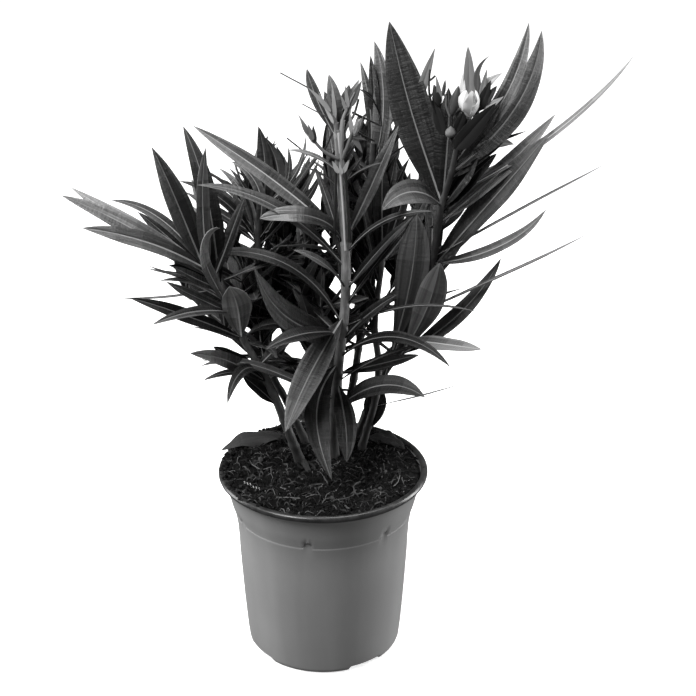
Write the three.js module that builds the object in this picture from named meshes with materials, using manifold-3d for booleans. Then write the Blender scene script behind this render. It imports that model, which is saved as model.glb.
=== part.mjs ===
// A potted oleander: a round plastic pot, the soil in it, seven canes that rise from one root,
// and the masses of long narrow leaves that the canes carry.
// Millimetres, +Z up. The origin is the middle of the pot's flat underside.
import * as THREE from "three";
import { mergeVertices } from "three/addons/utils/BufferGeometryUtils.js";
import Module from "manifold-3d";

// --- driving dimensions ---------------------------------------------------------------------

const GAP = 0.3; // clearance between two solids that touch in the real plant

const POT_WALL = 1.6;
const POT_BASE_RADIUS = 63.5;
const POT_BASE_ROUND = 6; // radius of the rounded bottom edge
const POT_SHOULDER_Z = 119; // where the stacking shoulder begins
const POT_SHOULDER_RADIUS = 70.2;
const POT_SHOULDER_STEP = 2.4; // how far the shoulder stands out
const POT_NECK_Z = 150;
const POT_NECK_RADIUS = 80;
const RIM_RADIUS = 85; // outermost radius of the rolled rim
const RIM_ROLL = 2.8; // radius of the roll itself
const RIM_ROLL_Z = 157;
const POT_SIDES = 32; // the soil has as many, so that it follows the wall

const FOOT_HEIGHT = 5.5; // drainage cut-outs under the wall
const FOOT_INNER_RADIUS = 48;
const CUTOUT_COUNT = 4;
const CUTOUT_WIDTH = 27; // degrees
const CUTOUT_FIRST = 304; // heading of the first cut-out, degrees from +X

const SOIL_LEVEL = 153;
const SOIL_RADIUS = 77.4;
const SOIL_BUMP = 3.5; // height of its lumps
const SOIL_LEVEL_NEAR = 9; // level this near to a cane's middle, and fully lumpy
const SOIL_LUMPY_FROM = 22; // from here outwards
const SOIL_RINGS = 4;

const CANE_SIDES = 6;
const CANE_STEP = 30; // height of one step along a cane
const CANE_FLARE = 1.35; // how much wider the foot is than the cane above it
const CANE_FLARE_HEIGHT = 16;

const LOBE_SIDES = 4;
const LOBE_STEPS = 4;
const LOBE_THICKNESS = 9;
const LOBE_START = 5; // distance from the cane's middle line
const LOBE_WIDEST = 0.9; // under 1, the widest place is nearer to the cane
const LOBE_BLUNTNESS = 0.75; // under 1, the ends are blunter
const LOBE_SPREAD = 1.15; // how much wider a lobe is than the widest leaf in it
const HEART_SIZE = 12.6;
const HEART_UNEVENNESS = 0.14;

const COLOUR = { pot: 0x6e6e6e, soil: 0x161616, cane: 0x6a6a6a, leaves: 0x3d3d3d, bloom: 0x9a9a9a };

// Each cane: the radius at its foot and at its tip, then the points it passes through.
const CANES = {
  middle: { foot: 4.4, tip: 3.2, route: [[8, 20, SOIL_LEVEL], [10, 16, 211], [13, 12, 248],
    [18, 8, 299], [18, 4, 348], [14, 0, 415], [13, -2, 442]] },
  left: { foot: 5.2, tip: 2.8, route: [[-17, 11, SOIL_LEVEL], [-27, 2, 188], [-37, 0, 219],
    [-47, -2, 244], [-61, -6, 274], [-71, -10, 307], [-88, -16, 340]] },
  right: { foot: 4.4, tip: 2.8, route: [[26, 58, SOIL_LEVEL], [51, 58, 217], [61, 56, 233],
    [74, 46, 287], [86, 36, 320], [90, 28, 351], [92, 22, 374], [98, 16, 400], [102, 14, 422]] },
  back_middle: { foot: 3.4, tip: 2.4, route: [[10, 64, SOIL_LEVEL], [22, 70, 190], [30, 73, 240],
    [36, 76, 300], [38, 78, 360], [40, 78, 408]] },
  back_right: { foot: 3.4, tip: 2.2, route: [[30, 34, SOIL_LEVEL], [43, 36, 205], [45, 38, 236],
    [42, 44, 262], [48, 58, 318]] },
  back_left: { foot: 3.6, tip: 2.4, route: [[-13, 46, SOIL_LEVEL], [-32, 48, 197], [-44, 50, 223],
    [-48, 54, 270], [-52, 62, 330], [-50, 66, 372]] },
  low_back: { foot: 3.2, tip: 2.2, route: [[-8, 66, SOIL_LEVEL], [-12, 84, 215], [-14, 98, 280],
    [-12, 108, 330]] },
};

// Each mass of leaves hangs on one cane and is a few lobes that run together at the cane:
// [height on the cane, heading, rise, length, width, droop], in millimetres and degrees.
// Heading is measured from +X towards +Y, rise from level, and droop is the rise lost by the tip.
const MASSES = {
  leaves_left_spread: { cane: "left", lobes: [[338, 195, 36, 125, 15, 8], [339, 172, 30, 120, 12, 0],
    [334, 210, 30, 112, 13, 5]] },
  leaves_left_upright: { cane: "left", lobes: [[339, 160, 58, 95, 12, 62], [336, 130, 15, 103, 16, 0],
    [339, 215, 70, 112, 18, 5]] },
  leaves_left_tall: { cane: "left", lobes: [[328, 110, 68, 112, 20, 3], [332, 180, 85, 88, 10, -15],
    [326, 40, 62, 70, 13, 0]] },
  leaves_left_middle: { cane: "left", lobes: [[308, 215, 32, 96, 10, 3], [306, 195, 12, 95, 8, 3],
    [300, 240, 32, 106, 14, 34], [290, 212, 22, 103, 13, -5]] },
  leaves_left_inner: { cane: "left", lobes: [[314, 250, 30, 96, 15, 5], [290, 265, 50, 66, 20, -8],
    [305, 125, 0, 86, 12, 5]] },
  leaves_left_low: { cane: "left", lobes: [[245, 220, 62, 78, 15, 80], [228, 225, 46, 92, 20, 5],
    [232, 150, 15, 84, 15, 5], [240, 262, 22, 98, 13, 50]] },
  leaves_front_left: { cane: "middle", lobes: [[275, 225, 43, 120, 26, 5], [282, 200, 28, 100, 18, 20],
    [284, 255, 22, 122, 16, 12]] },
  leaves_front_hanging: { cane: "middle", lobes: [[272, 238, -20, 104, 27, 32]] },
  leaves_front_low: { cane: "middle", lobes: [[233, 262, -46, 82, 19, 22], [215, 290, -25, 58, 17, 40]] },
  leaves_middle_left: { cane: "middle", lobes: [[378, 170, 22, 132, 15, -8], [340, 200, 42, 134, 14, 28],
    [356, 200, 70, 88, 13, 100], [352, 250, 26, 104, 13, 4]] },
  leaves_middle_inner: { cane: "middle", lobes: [[300, 150, 38, 128, 16, 46], [315, 245, 36, 104, 15, 5],
    [288, 150, -12, 118, 16, 30]] },
  leaves_middle_right: { cane: "middle", lobes: [[338, 330, 58, 98, 13, 55], [352, 30, 62, 96, 13, 0],
    [322, 300, 34, 110, 15, -8]] },
  leaves_middle_low: { cane: "middle", lobes: [[255, 318, 44, 126, 12, 70], [268, 322, 40, 145, 7, 50],
    [240, 300, 20, 92, 15, 20]] },
  bud_spray_middle: { cane: "middle", lobes: [[437, 120, 40, 66, 11, 0], [438, 110, 60, 52, 10, 0],
    [436, 200, 70, 64, 7, 45], [436, 80, 82, 48, 16, 0], [438, 20, 70, 46, 10, 0]] },
  leaves_right_broad: { cane: "right", lobes: [[374, 125, 61, 153, 32, 0]] },
  leaves_right_curved: { cane: "right", lobes: [[392, 35, 30, 147, 24, -45], [402, 30, 58, 128, 15, 0],
    [398, 8, 54, 108, 14, -3], [405, 50, 38, 66, 17, 0]] },
  flower_head: { cane: "right", lobes: [[418, 70, 85, 62, 20, 0], [418, 130, 68, 52, 14, 0],
    [418, 320, 72, 50, 15, 0], [418, 220, 66, 40, 16, 0], [418, 15, 60, 44, 12, 0]] },
  leaves_right_spread: { cane: "right", lobes: [[362, 5, 44, 122, 22, 4], [345, 345, 50, 138, 24, 2]] },
  leaves_right_long: { cane: "right", lobes: [[380, 350, 24, 170, 7, -30], [372, 235, 50, 78, 14, 80],
    [384, 285, 48, 112, 16, 18]] },
  leaves_right_fine: { cane: "right", lobes: [[334, 340, 35, 160, 7, 2], [322, 315, 22, 122, 12, -25]] },
  leaves_right_low: { cane: "right", lobes: [[288, 352, 17, 150, 7, -15], [256, 340, 36, 132, 14, -35],
    [250, 305, 16, 108, 15, 0]] },
  leaves_right_inner: { cane: "right", lobes: [[250, 84, 70, 122, 24, 0], [236, 50, 60, 118, 22, 0]] },
  leaves_low_front: { cane: "back_right", lobes: [[200, 330, 60, 92, 14, 110], [196, 285, 12, 98, 18, 40],
    [195, 340, 20, 90, 8, 0]] },
  leaves_back_middle_top: { cane: "back_middle", lobes: [[402, 120, 73, 70, 12, 0],
    [400, 60, 86, 80, 13, 0], [404, 95, 84, 86, 13, 0], [400, 220, 78, 56, 13, 0]] },
  leaves_back_middle: { cane: "back_middle", lobes: [[360, 70, 66, 105, 20, 0],
    [340, 110, 40, 112, 18, 10], [320, 60, 30, 110, 18, 12]] },
  leaves_back_left_top: { cane: "back_left", lobes: [[340, 65, 84, 92, 19, 0], [338, 120, 64, 84, 16, 0],
    [350, 160, 50, 80, 14, 0]] },
  leaves_back_left: { cane: "back_left", lobes: [[300, 130, 34, 108, 18, 8], [290, 95, 42, 112, 18, 12],
    [270, 155, 22, 98, 17, 10]] },
  leaves_back_left_low: { cane: "back_left", lobes: [[232, 135, 20, 96, 17, 20],
    [240, 100, 30, 92, 16, 20]] },
  leaves_back_right: { cane: "back_right", lobes: [[314, 75, 55, 92, 18, 0], [300, 112, 36, 96, 17, 10],
    [262, 48, 40, 90, 16, 10]] },
  leaves_far_right: { cane: "right", lobes: [[306, 68, 42, 104, 18, 8], [292, 92, 30, 104, 18, 14],
    [280, 60, 18, 98, 17, 12]] },
  leaves_far_right_low: { cane: "right", lobes: [[222, 72, 8, 92, 17, 24], [226, 108, 14, 88, 16, 22]] },
  leaves_low_back: { cane: "low_back", lobes: [[326, 95, 50, 92, 18, 6], [314, 60, 34, 98, 18, 14],
    [306, 132, 30, 98, 18, 14]] },
  leaves_low_back_under: { cane: "low_back", lobes: [[246, 70, 14, 86, 17, 24],
    [238, 112, 10, 88, 17, 24]] },
};

// --- solids -----------------------------------------------------------------------------------

const wasm = await Module();
wasm.setup();

// A geometry as a solid that can be joined and cut.
function solidOf(geometry) {
  const bare = geometry.clone();
  bare.deleteAttribute("normal");
  bare.deleteAttribute("uv");
  const merged = mergeVertices(bare, 1e-4);
  const mesh = new wasm.Mesh({
    numProp: 3,
    vertProperties: merged.attributes.position.array,
    triVerts: new Uint32Array(merged.index.array),
  });
  return new wasm.Manifold(mesh);
}

// A solid as a geometry again.
function geometryOf(solid) {
  const mesh = solid.getMesh();
  const geometry = new THREE.BufferGeometry();
  geometry.setAttribute("position", new THREE.BufferAttribute(mesh.vertProperties, 3));
  geometry.setIndex(new THREE.BufferAttribute(mesh.triVerts, 1));
  geometry.computeVertexNormals();
  return geometry;
}

// Moves every corner of a geometry to the place that a function gives for it.
function reshape(geometry, place) {
  const position = geometry.attributes.position;
  const corner = new THREE.Vector3();
  for (let i = 0; i < position.count; i++) {
    corner.fromBufferAttribute(position, i);
    position.setXYZ(i, ...place(corner).toArray());
  }
  return geometry;
}

function lathe(profile, sides) {
  const points = profile.map(([radius, height]) => new THREE.Vector2(radius, height));
  return new THREE.LatheGeometry(points, sides).rotateX(Math.PI / 2);
}

function arc(centreRadius, centreZ, radius, from, to, steps) {
  const points = [];
  for (let i = 0; i <= steps; i++) {
    const angle = THREE.MathUtils.degToRad(from + ((to - from) * i) / steps);
    points.push([centreRadius + radius * Math.cos(angle), centreZ + radius * Math.sin(angle)]);
  }
  return points;
}

for (const cane of Object.values(CANES)) {
  cane.curve = new THREE.CatmullRomCurve3(cane.route.map((point) => new THREE.Vector3(...point)));
  cane.bottom = cane.route[0][2];
  cane.top = cane.route.at(-1)[2];
}

// --- pot and soil -----------------------------------------------------------------------------

// The pot is one moulded wall: a rounded bottom edge, a slight taper, a shoulder that stands out
// so that pots stack, a flared neck and a rim rolled over outwards.
function pot() {
  const round = arc(POT_BASE_RADIUS - POT_BASE_ROUND, POT_BASE_ROUND, POT_BASE_ROUND, -90, 0, 3);
  const shoulder = POT_SHOULDER_RADIUS + POT_SHOULDER_STEP;
  const roll = arc(RIM_RADIUS - RIM_ROLL, RIM_ROLL_Z, RIM_ROLL, -100, 180, 6);
  const floor = FOOT_HEIGHT + POT_WALL;
  const profile = [
    [0, 0],
    ...round,
    [POT_SHOULDER_RADIUS, POT_SHOULDER_Z],
    [shoulder, POT_SHOULDER_Z + POT_SHOULDER_STEP],
    [POT_NECK_RADIUS, POT_NECK_Z],
    ...roll,
    [POT_NECK_RADIUS - POT_WALL, POT_NECK_Z],
    [shoulder - POT_WALL, POT_SHOULDER_Z + POT_SHOULDER_STEP + POT_WALL],
    [POT_SHOULDER_RADIUS - POT_WALL, POT_SHOULDER_Z + POT_WALL],
    [POT_BASE_RADIUS - POT_WALL, floor],
    [FOOT_INNER_RADIUS - POT_WALL, floor],
    [FOOT_INNER_RADIUS - POT_WALL, POT_WALL],
    [0, POT_WALL],
  ];
  let solid = solidOf(lathe(profile, POT_SIDES));
  for (let i = 0; i < CUTOUT_COUNT; i++) {
    const heading = CUTOUT_FIRST + (360 / CUTOUT_COUNT) * i;
    solid = solid.subtract(solidOf(cutout(heading)));
  }
  return geometryOf(solid);
}

// The block that is taken away under the wall at one drainage cut-out.
function cutout(heading) {
  const depth = RIM_RADIUS - FOOT_INNER_RADIUS;
  const width = 2 * POT_BASE_RADIUS * Math.tan(THREE.MathUtils.degToRad(CUTOUT_WIDTH / 2));
  const block = new THREE.BoxGeometry(depth, width, 2 * FOOT_HEIGHT);
  block.translate(FOOT_INNER_RADIUS + depth / 2, 0, 0);
  return block.rotateZ(THREE.MathUtils.degToRad(heading));
}

// Distance from a place on the soil to the nearest cane.
function distanceToCane(x, y) {
  const feet = Object.values(CANES).map((cane) => cane.route[0]);
  return Math.min(...feet.map(([footX, footY]) => Math.hypot(x - footX, y - footY)));
}

// The soil fills the pot. Its top is level under each cane and rises in lumps elsewhere.
function soil() {
  const floor = FOOT_HEIGHT + POT_WALL + GAP;
  const bottom = POT_BASE_RADIUS - POT_WALL - 1.5 * GAP;
  const below = POT_SHOULDER_RADIUS - POT_WALL - 2 * GAP;
  const profile = [[0, floor], [bottom, floor], [below, POT_SHOULDER_Z], [SOIL_RADIUS, SOIL_LEVEL - 3]];
  for (let ring = SOIL_RINGS; ring >= 0; ring--) {
    profile.push([((SOIL_RADIUS - 0.5) * ring) / SOIL_RINGS, SOIL_LEVEL - GAP]);
  }
  const lumpy = reshape(lathe(profile, POT_SIDES), (corner) => {
    const { x, y } = corner;
    const clear = THREE.MathUtils.smoothstep(distanceToCane(x, y), SOIL_LEVEL_NEAR, SOIL_LUMPY_FROM);
    const lump = 0.5 + 0.5 * Math.sin(x / 9 + 1) * Math.cos(y / 7);
    if (corner.z > SOIL_LEVEL - 2) corner.z += SOIL_BUMP * lump * clear;
    return corner;
  });
  let solid = solidOf(lumpy);
  for (const cane of Object.values(CANES)) solid = solid.subtract(solidOf(caneGeometry(cane, GAP)));
  return geometryOf(solid);
}

// --- canes ------------------------------------------------------------------------------------

// The point of a cane's middle line at one height.
function caneAt(cane, height) {
  let low = 0;
  let high = 1;
  for (let i = 0; i < 24; i++) {
    const middle = (low + high) / 2;
    if (cane.curve.getPoint(middle).z < height) low = middle;
    else high = middle;
  }
  return cane.curve.getPoint((low + high) / 2);
}

// A cane tapers from its foot to its tip and is wider just above the soil.
function caneRadius(cane, height) {
  const share = (height - cane.bottom) / (cane.top - cane.bottom);
  const flare = Math.max(0, 1 - (height - cane.bottom) / CANE_FLARE_HEIGHT);
  return THREE.MathUtils.lerp(cane.foot, cane.tip, share) * (1 + (CANE_FLARE - 1) * flare);
}

// Every section of a cane is level, so its foot is a flat cut at the soil.
function caneGeometry(cane, grow = 0) {
  const steps = Math.ceil((cane.top - cane.bottom) / CANE_STEP);
  const straight = new THREE.CylinderGeometry(1, 1, 1, CANE_SIDES, steps).rotateX(Math.PI / 2);
  return reshape(straight, (corner) => {
    const share = corner.z + 0.5;
    const height = THREE.MathUtils.lerp(cane.bottom, cane.top, share);
    const radius = caneRadius(cane, height) + grow;
    const centre = caneAt(cane, height);
    const end = grow * (2 * share - 1);
    return new THREE.Vector3(centre.x + radius * corner.x, centre.y + radius * corner.y, height + end);
  });
}

// --- masses of leaves -------------------------------------------------------------------------

// The direction of a lobe at a share of its length.
function lobeDirection([, heading, rise, , , droop], share) {
  const turn = THREE.MathUtils.degToRad(heading);
  const tilt = THREE.MathUtils.degToRad(rise - droop * share ** 1.3);
  return new THREE.Vector3(Math.cos(tilt) * Math.cos(turn), Math.cos(tilt) * Math.sin(turn), Math.sin(tilt));
}

// The middle line of a lobe, from the cane to its tip.
function lobeSpine(cane, lobe) {
  const [height, , , length] = lobe;
  const start = lobeDirection(lobe, 0).multiplyScalar(LOBE_START);
  const spine = [caneAt(cane, height).add(start)];
  for (let i = 0; i < LOBE_STEPS; i++) {
    const step = lobeDirection(lobe, (i + 0.5) / LOBE_STEPS).multiplyScalar(length / LOBE_STEPS);
    spine.push(spine[i].clone().add(step));
  }
  return spine;
}

// A lobe is a flat pad, pointed at both ends and widest just before its middle.
function lobeGeometry(cane, lobe, grow = 0) {
  const [, heading, , , width] = lobe;
  const spine = lobeSpine(cane, lobe);
  const turn = THREE.MathUtils.degToRad(heading);
  const side = new THREE.Vector3(-Math.sin(turn), Math.cos(turn), 0);
  const ball = new THREE.SphereGeometry(1, LOBE_SIDES, LOBE_STEPS).rotateX(Math.PI / 2);
  return reshape(ball, (corner) => {
    const share = 1 - Math.acos(THREE.MathUtils.clamp(corner.z, -1, 1)) / Math.PI;
    const step = Math.round(share * LOBE_STEPS);
    const forward = lobeDirection(lobe, share);
    const up = new THREE.Vector3().crossVectors(forward, side);
    const reach = Math.hypot(corner.x, corner.y);
    const end = forward.multiplyScalar(grow * (2 * share - 1));
    if (step === 0 || step === LOBE_STEPS) return spine[step].clone().add(end);
    const fullness = Math.sin(Math.PI * share ** LOBE_WIDEST) ** LOBE_BLUNTNESS;
    const across = ((width / 2) * LOBE_SPREAD * fullness + grow) * (corner.x / reach);
    const thick = ((LOBE_THICKNESS / 2) * fullness + grow) * (corner.y / reach);
    return spine[step].clone().addScaledVector(side, across).addScaledVector(up, thick).add(end);
  });
}

// The lobes of a mass run together in its heart, an uneven lump beside the cane.
function heartGeometry(cane, lobes, grow = 0) {
  const mean = new THREE.Vector3();
  for (const lobe of lobes) mean.add(lobeDirection(lobe, 0.3));
  mean.normalize();
  const heights = lobes.map(([height]) => height);
  const low = Math.min(...heights);
  const high = Math.max(...heights);
  const centre = caneAt(cane, (low + high) / 2).addScaledVector(mean, HEART_SIZE * 0.85);
  const tall = HEART_SIZE * 0.8 + (high - low) / 2;
  return reshape(new THREE.IcosahedronGeometry(1, 0), (corner) => {
    const uneven = 1 + HEART_UNEVENNESS * Math.sin(5 * corner.x + 3 * corner.y + 4 * corner.z);
    const size = new THREE.Vector3(HEART_SIZE, HEART_SIZE, tall).multiplyScalar(uneven).addScalar(grow);
    return corner.clone().multiply(size).add(centre);
  });
}

function massSolid({ cane: caneName, lobes }, grow = 0) {
  const cane = CANES[caneName];
  let solid = solidOf(heartGeometry(cane, lobes, grow));
  for (const lobe of lobes) solid = solid.add(solidOf(lobeGeometry(cane, lobe, grow)));
  return solid;
}

// What is left of a cut mass in one piece: its largest body.
function largestBody(solid) {
  return solid.decompose().reduce((best, body) => (body.volume() > best.volume() ? body : best));
}

// --- assembly ---------------------------------------------------------------------------------

const plant = new THREE.Group();

function addMesh(name, geometry, colour, roughness) {
  const material = new THREE.MeshStandardMaterial({ color: colour, roughness, metalness: 0 });
  const mesh = new THREE.Mesh(geometry, material);
  mesh.name = name;
  plant.add(mesh);
}

addMesh("pot", pot(), COLOUR.pot, 0.45);
addMesh("soil", soil(), COLOUR.soil, 0.95);

// Whatever is in the plant already, each solid grown by the gap: the next mass is cut by it.
let taken = null;
for (const [name, cane] of Object.entries(CANES)) {
  addMesh("cane_" + name, caneGeometry(cane), COLOUR.cane, 0.7);
  const grown = solidOf(caneGeometry(cane, GAP));
  taken = taken ? taken.add(grown) : grown;
}
for (const [name, mass] of Object.entries(MASSES)) {
  const solid = largestBody(massSolid(mass).subtract(taken));
  const colour = name.startsWith("leaves") ? COLOUR.leaves : COLOUR.bloom;
  addMesh(name, geometryOf(solid), colour, 0.6);
  taken = taken.add(massSolid(mass, GAP));
}

export default plant;
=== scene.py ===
# %% [markdown]
# # A potted oleander
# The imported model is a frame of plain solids: a pot, its soil, seven canes and the masses of
# leaves. This lesson keeps their places and sizes and replaces each with a detailed mesh.
# Shapes are worked out in millimetres, and MM turns them into Blender's metres at the end.

# %% The frame
import math
import random

import bmesh
import bpy
import numpy as np
from mathutils import Matrix, Vector, noise


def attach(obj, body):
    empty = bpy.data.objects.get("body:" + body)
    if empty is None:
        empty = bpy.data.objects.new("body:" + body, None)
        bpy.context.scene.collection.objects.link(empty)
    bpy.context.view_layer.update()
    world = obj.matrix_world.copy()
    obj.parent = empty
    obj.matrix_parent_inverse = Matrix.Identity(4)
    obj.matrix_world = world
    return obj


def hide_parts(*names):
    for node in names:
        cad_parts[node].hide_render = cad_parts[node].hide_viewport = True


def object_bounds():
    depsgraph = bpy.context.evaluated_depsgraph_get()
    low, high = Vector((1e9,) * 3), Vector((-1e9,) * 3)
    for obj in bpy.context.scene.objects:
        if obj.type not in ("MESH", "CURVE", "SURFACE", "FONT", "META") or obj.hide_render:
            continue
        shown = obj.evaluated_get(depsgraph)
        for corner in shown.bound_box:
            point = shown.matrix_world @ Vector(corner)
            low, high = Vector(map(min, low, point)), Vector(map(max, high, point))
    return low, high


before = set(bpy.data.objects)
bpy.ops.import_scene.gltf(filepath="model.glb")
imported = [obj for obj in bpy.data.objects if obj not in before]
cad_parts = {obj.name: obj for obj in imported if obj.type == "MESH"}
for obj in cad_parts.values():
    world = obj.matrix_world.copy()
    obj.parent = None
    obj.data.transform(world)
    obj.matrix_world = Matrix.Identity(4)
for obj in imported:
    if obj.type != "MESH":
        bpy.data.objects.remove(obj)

bpy.context.view_layer.update()
cad_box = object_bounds()
MM = 0.001
NODES = sorted(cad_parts)
print("frame:", len(NODES), "solids, box", [round(v, 3) for corner in cad_box for v in corner])

# %% [markdown]
# ## Camera
# The plant is seen from a little above, through a lens long enough to keep the pot's sides
# nearly straight. The camera comes first, because the rule that grows the hidden leaves asks
# how they would look from it: a real plant is open in places, and the sky shows there.

# %% Camera
TILT = math.radians(23.8)
DISTANCE = 1200.0
LENS = 78.95
SENSOR = 36.0
FARTHEST = 30.0
TARGET = np.array([20.2, 0.0, 264.5])
BACK = np.array([0.0, -math.cos(TILT), math.sin(TILT)])
UP = np.array([0.0, math.sin(TILT), math.cos(TILT)])
EYE = TARGET + DISTANCE * BACK

camera_data = bpy.data.cameras.new("camera")
camera_data.lens = LENS
camera_data.sensor_width = SENSOR
camera_data.clip_end = FARTHEST
camera = bpy.data.objects.new("camera", camera_data)
bpy.context.scene.collection.objects.link(camera)
camera.location = Vector(EYE) * MM
camera.rotation_euler = Vector(BACK).to_track_quat("Z", "Y").to_euler()
bpy.context.scene.camera = camera


def seen(points):
    """Where points fall on the upright plane through the target, as the camera sees them."""
    arm = np.atleast_2d(points) - EYE
    scale = DISTANCE / -(arm @ BACK)
    return np.stack([arm[:, 0] * scale, (arm @ UP) * scale], axis=1)


print("camera at", [round(v, 3) for v in camera.location])

# %% [markdown]
# ## Finishes
# The whole subject is shown in neutral greys, so each finish is a grey of its own with its own
# gloss. Leaves are leathery: dark above with a satin gloss, paler and duller below, with a pale
# midrib. Each leaf is dealt its greys strip by strip from twelve tones, some of them painted light
# and shade: paler margins, a blade darker at its foot and paler at its tip, and one half lighter or
# darker than the other. Its fine streaks and veins follow the blade's own map. Pot, peat and bark
# get patterns in Object space.

# %% Plain finishes


def neutral(grey):
    """The colour of a plain grey."""
    return (grey, grey, grey, 1.0)


def plain(name, grey, roughness, **values):
    """A material of one grey. Every value sits on the shader's own socket."""
    material = bpy.data.materials.new(name)
    material.use_nodes = True
    shader = material.node_tree.nodes["Principled BSDF"]
    shader.inputs["Base Color"].default_value = neutral(grey)
    shader.inputs["Roughness"].default_value = roughness
    for socket, value in values.items():
        shader.inputs[socket.replace("_", " ")].default_value = value
    return material


print("plain finishes ready")

# %% Patterned finishes


class Pattern:
    """A Principled material whose nodes are added one by one."""

    def __init__(self, name, roughness):
        self.material = bpy.data.materials.new(name)
        self.material.use_nodes = True
        self.tree = self.material.node_tree
        self.shader = self.tree.nodes["Principled BSDF"]
        self.give("Roughness", roughness)
        self.place = self.tree.nodes.new("ShaderNodeTexCoord").outputs["Object"]

    def give(self, socket, value):
        """Sets one of the shader's own sockets, or links a pattern to it."""
        self.put(self.shader.inputs[socket], value)

    def node(self, kind, **inputs):
        made = self.tree.nodes.new("ShaderNode" + kind)
        for key, value in inputs.items():
            self.put(made.inputs[key.replace("_", " ")], value)
        return made

    def put(self, socket, value):
        if isinstance(value, bpy.types.NodeSocket):
            self.tree.links.new(value, socket)
        else:
            socket.default_value = value

    def stretched(self, scale, place=None):
        mapping = self.node("Mapping", Vector=place or self.place)
        mapping.inputs["Scale"].default_value = scale
        return mapping.outputs["Vector"]

    def noise(self, scale, detail=4.0, vector=None, roughness=0.5):
        place = vector or self.place
        made = self.node("TexNoise", Vector=place, Scale=scale, Detail=detail, Roughness=roughness)
        return made.outputs["Fac"]

    def ramp(self, factor, *stops):
        """Greys at shares of a factor: (share, grey), ..."""
        made = self.node("ValToRGB", Fac=factor)
        elements = made.color_ramp.elements
        while len(elements) < len(stops):
            elements.new(0.5)
        for element, (share, grey) in zip(elements, stops):
            element.position = share
            element.color = neutral(grey)
        return made.outputs["Color"]

    def mix(self, factor, first, second, blend="MIX"):
        made = self.tree.nodes.new("ShaderNodeMix")
        made.data_type = "RGBA"
        made.blend_type = blend
        self.put(made.inputs["Factor"], factor)
        self.put(made.inputs["A"], first)
        self.put(made.inputs["B"], second)
        return made.outputs["Result"]

    def relief(self, height, distance, strength=1.0):
        bump = self.node("Bump", Height=height, Distance=distance, Strength=strength)
        self.give("Normal", bump.outputs["Normal"])


print("pattern helper ready")

# %% Leaf finishes
TONES = 12
SHADES_PER_TONE = 2
LEAF_SIDES = {
    # darkest grey, step from tone to tone, roughness, sheen, sheen added by each tone, relief
    "upper": (0.0054, 1.41, 0.42, 0.08, 0.045, 0.0028),
    "under": (0.0138, 1.33, 0.6, 0.06, 0.03, 0.0022),
    "rib": (0.082, 1.2, 0.5, 0.3, 0.0, 0.0004),
}
BLADE_MAP = "along_the_blade"


def leaf_finish(name, grey, roughness, sheen, depth):
    """A grey leaf surface: streaks along the blade and side veins, in relief and in gloss."""
    made = Pattern(name, roughness)
    made.give("Base Color", neutral(grey))
    made.give("Specular IOR Level", sheen)
    blade = made.tree.nodes.new("ShaderNodeUVMap")
    blade.uv_map = BLADE_MAP
    along = made.stretched((1.0, 0.06, 1.0), blade.outputs["UV"])
    crossing = made.stretched((0.22, 1.0, 1.0), blade.outputs["UV"])
    streaks = made.noise(0.5, 3.0, along, 0.6)
    veins = made.noise(0.42, 3.0, crossing, 0.6)
    both = made.mix(0.45, streaks, veins)
    made.give("Roughness", made.ramp(both, (0.35, roughness - 0.12), (0.65, roughness + 0.18)))
    made.relief(both, depth, 0.8)
    return made.material


LEAF_FINISHES = [
    leaf_finish(f"leaf_{side}_{tone}", darkest * step**tone, roughness, sheen + more * tone, depth)
    for side, (darkest, step, roughness, sheen, more, depth) in LEAF_SIDES.items()
    for tone in range(TONES)
]
print("leaf finishes:", len(LEAF_FINISHES))

# %% [markdown]
# ## Making a piece
# Every finished mesh is handed over in the same way: its object stays at the origin, it rides on
# the root body, it takes its finishes as its own material slots, and it hides the plain solids it
# stands for.

# %% Piece helpers
MERGE_WITHIN = 0.01


def hand_over(name, mesh, materials, nodes=()):
    """Makes a finished mesh a piece of the part, and hides the solids it stands for."""
    for material in materials:
        mesh.materials.append(material)
    thing = bpy.data.objects.new(name, mesh)
    bpy.context.scene.collection.objects.link(thing)
    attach(thing, "root")
    if nodes:
        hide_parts(*nodes)
    triangles = sum(len(face.vertices) - 2 for face in mesh.polygons)
    print(f"{name}: {triangles} triangles, for {len(nodes)} solids")


def mesh_of(work, name, sharp=50):
    """Turns a bmesh into a mesh in metres with its faces outwards."""
    bmesh.ops.recalc_face_normals(work, faces=work.faces[:])
    mesh = bpy.data.meshes.new(name)
    work.to_mesh(mesh)
    work.free()
    mesh.transform(Matrix.Scale(MM, 4))
    mesh.polygons.foreach_set("use_smooth", [True] * len(mesh.polygons))
    mesh.set_sharp_from_angle(angle=math.radians(sharp))
    return mesh


def spun(profile, steps):
    """A bmesh of a chain of (radius, height) points spun once round the axis."""
    work = bmesh.new()
    chain = [work.verts.new((radius, 0.0, height)) for radius, height in profile]
    edges = [work.edges.new(pair) for pair in zip(chain, chain[1:])]
    bmesh.ops.spin(
        work, geom=chain + edges, axis=(0, 0, 1), cent=(0, 0, 0), angle=math.tau, steps=steps,
        use_merge=True,
    )
    bmesh.ops.remove_doubles(work, verts=work.verts[:], dist=MERGE_WITHIN)
    return work


# %% [markdown]
# ## Pot
# A nursery pot is one thin moulded wall. Its outline is a chain of points that is spun round the
# axis: a rounded bottom edge, a slight taper, a stacking shoulder with a hairline bead, a flared
# neck and a rim rolled over outwards. The foot is lifted at four drainage cut-outs, and seven
# short stacking marks break the shoulder line.

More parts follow.
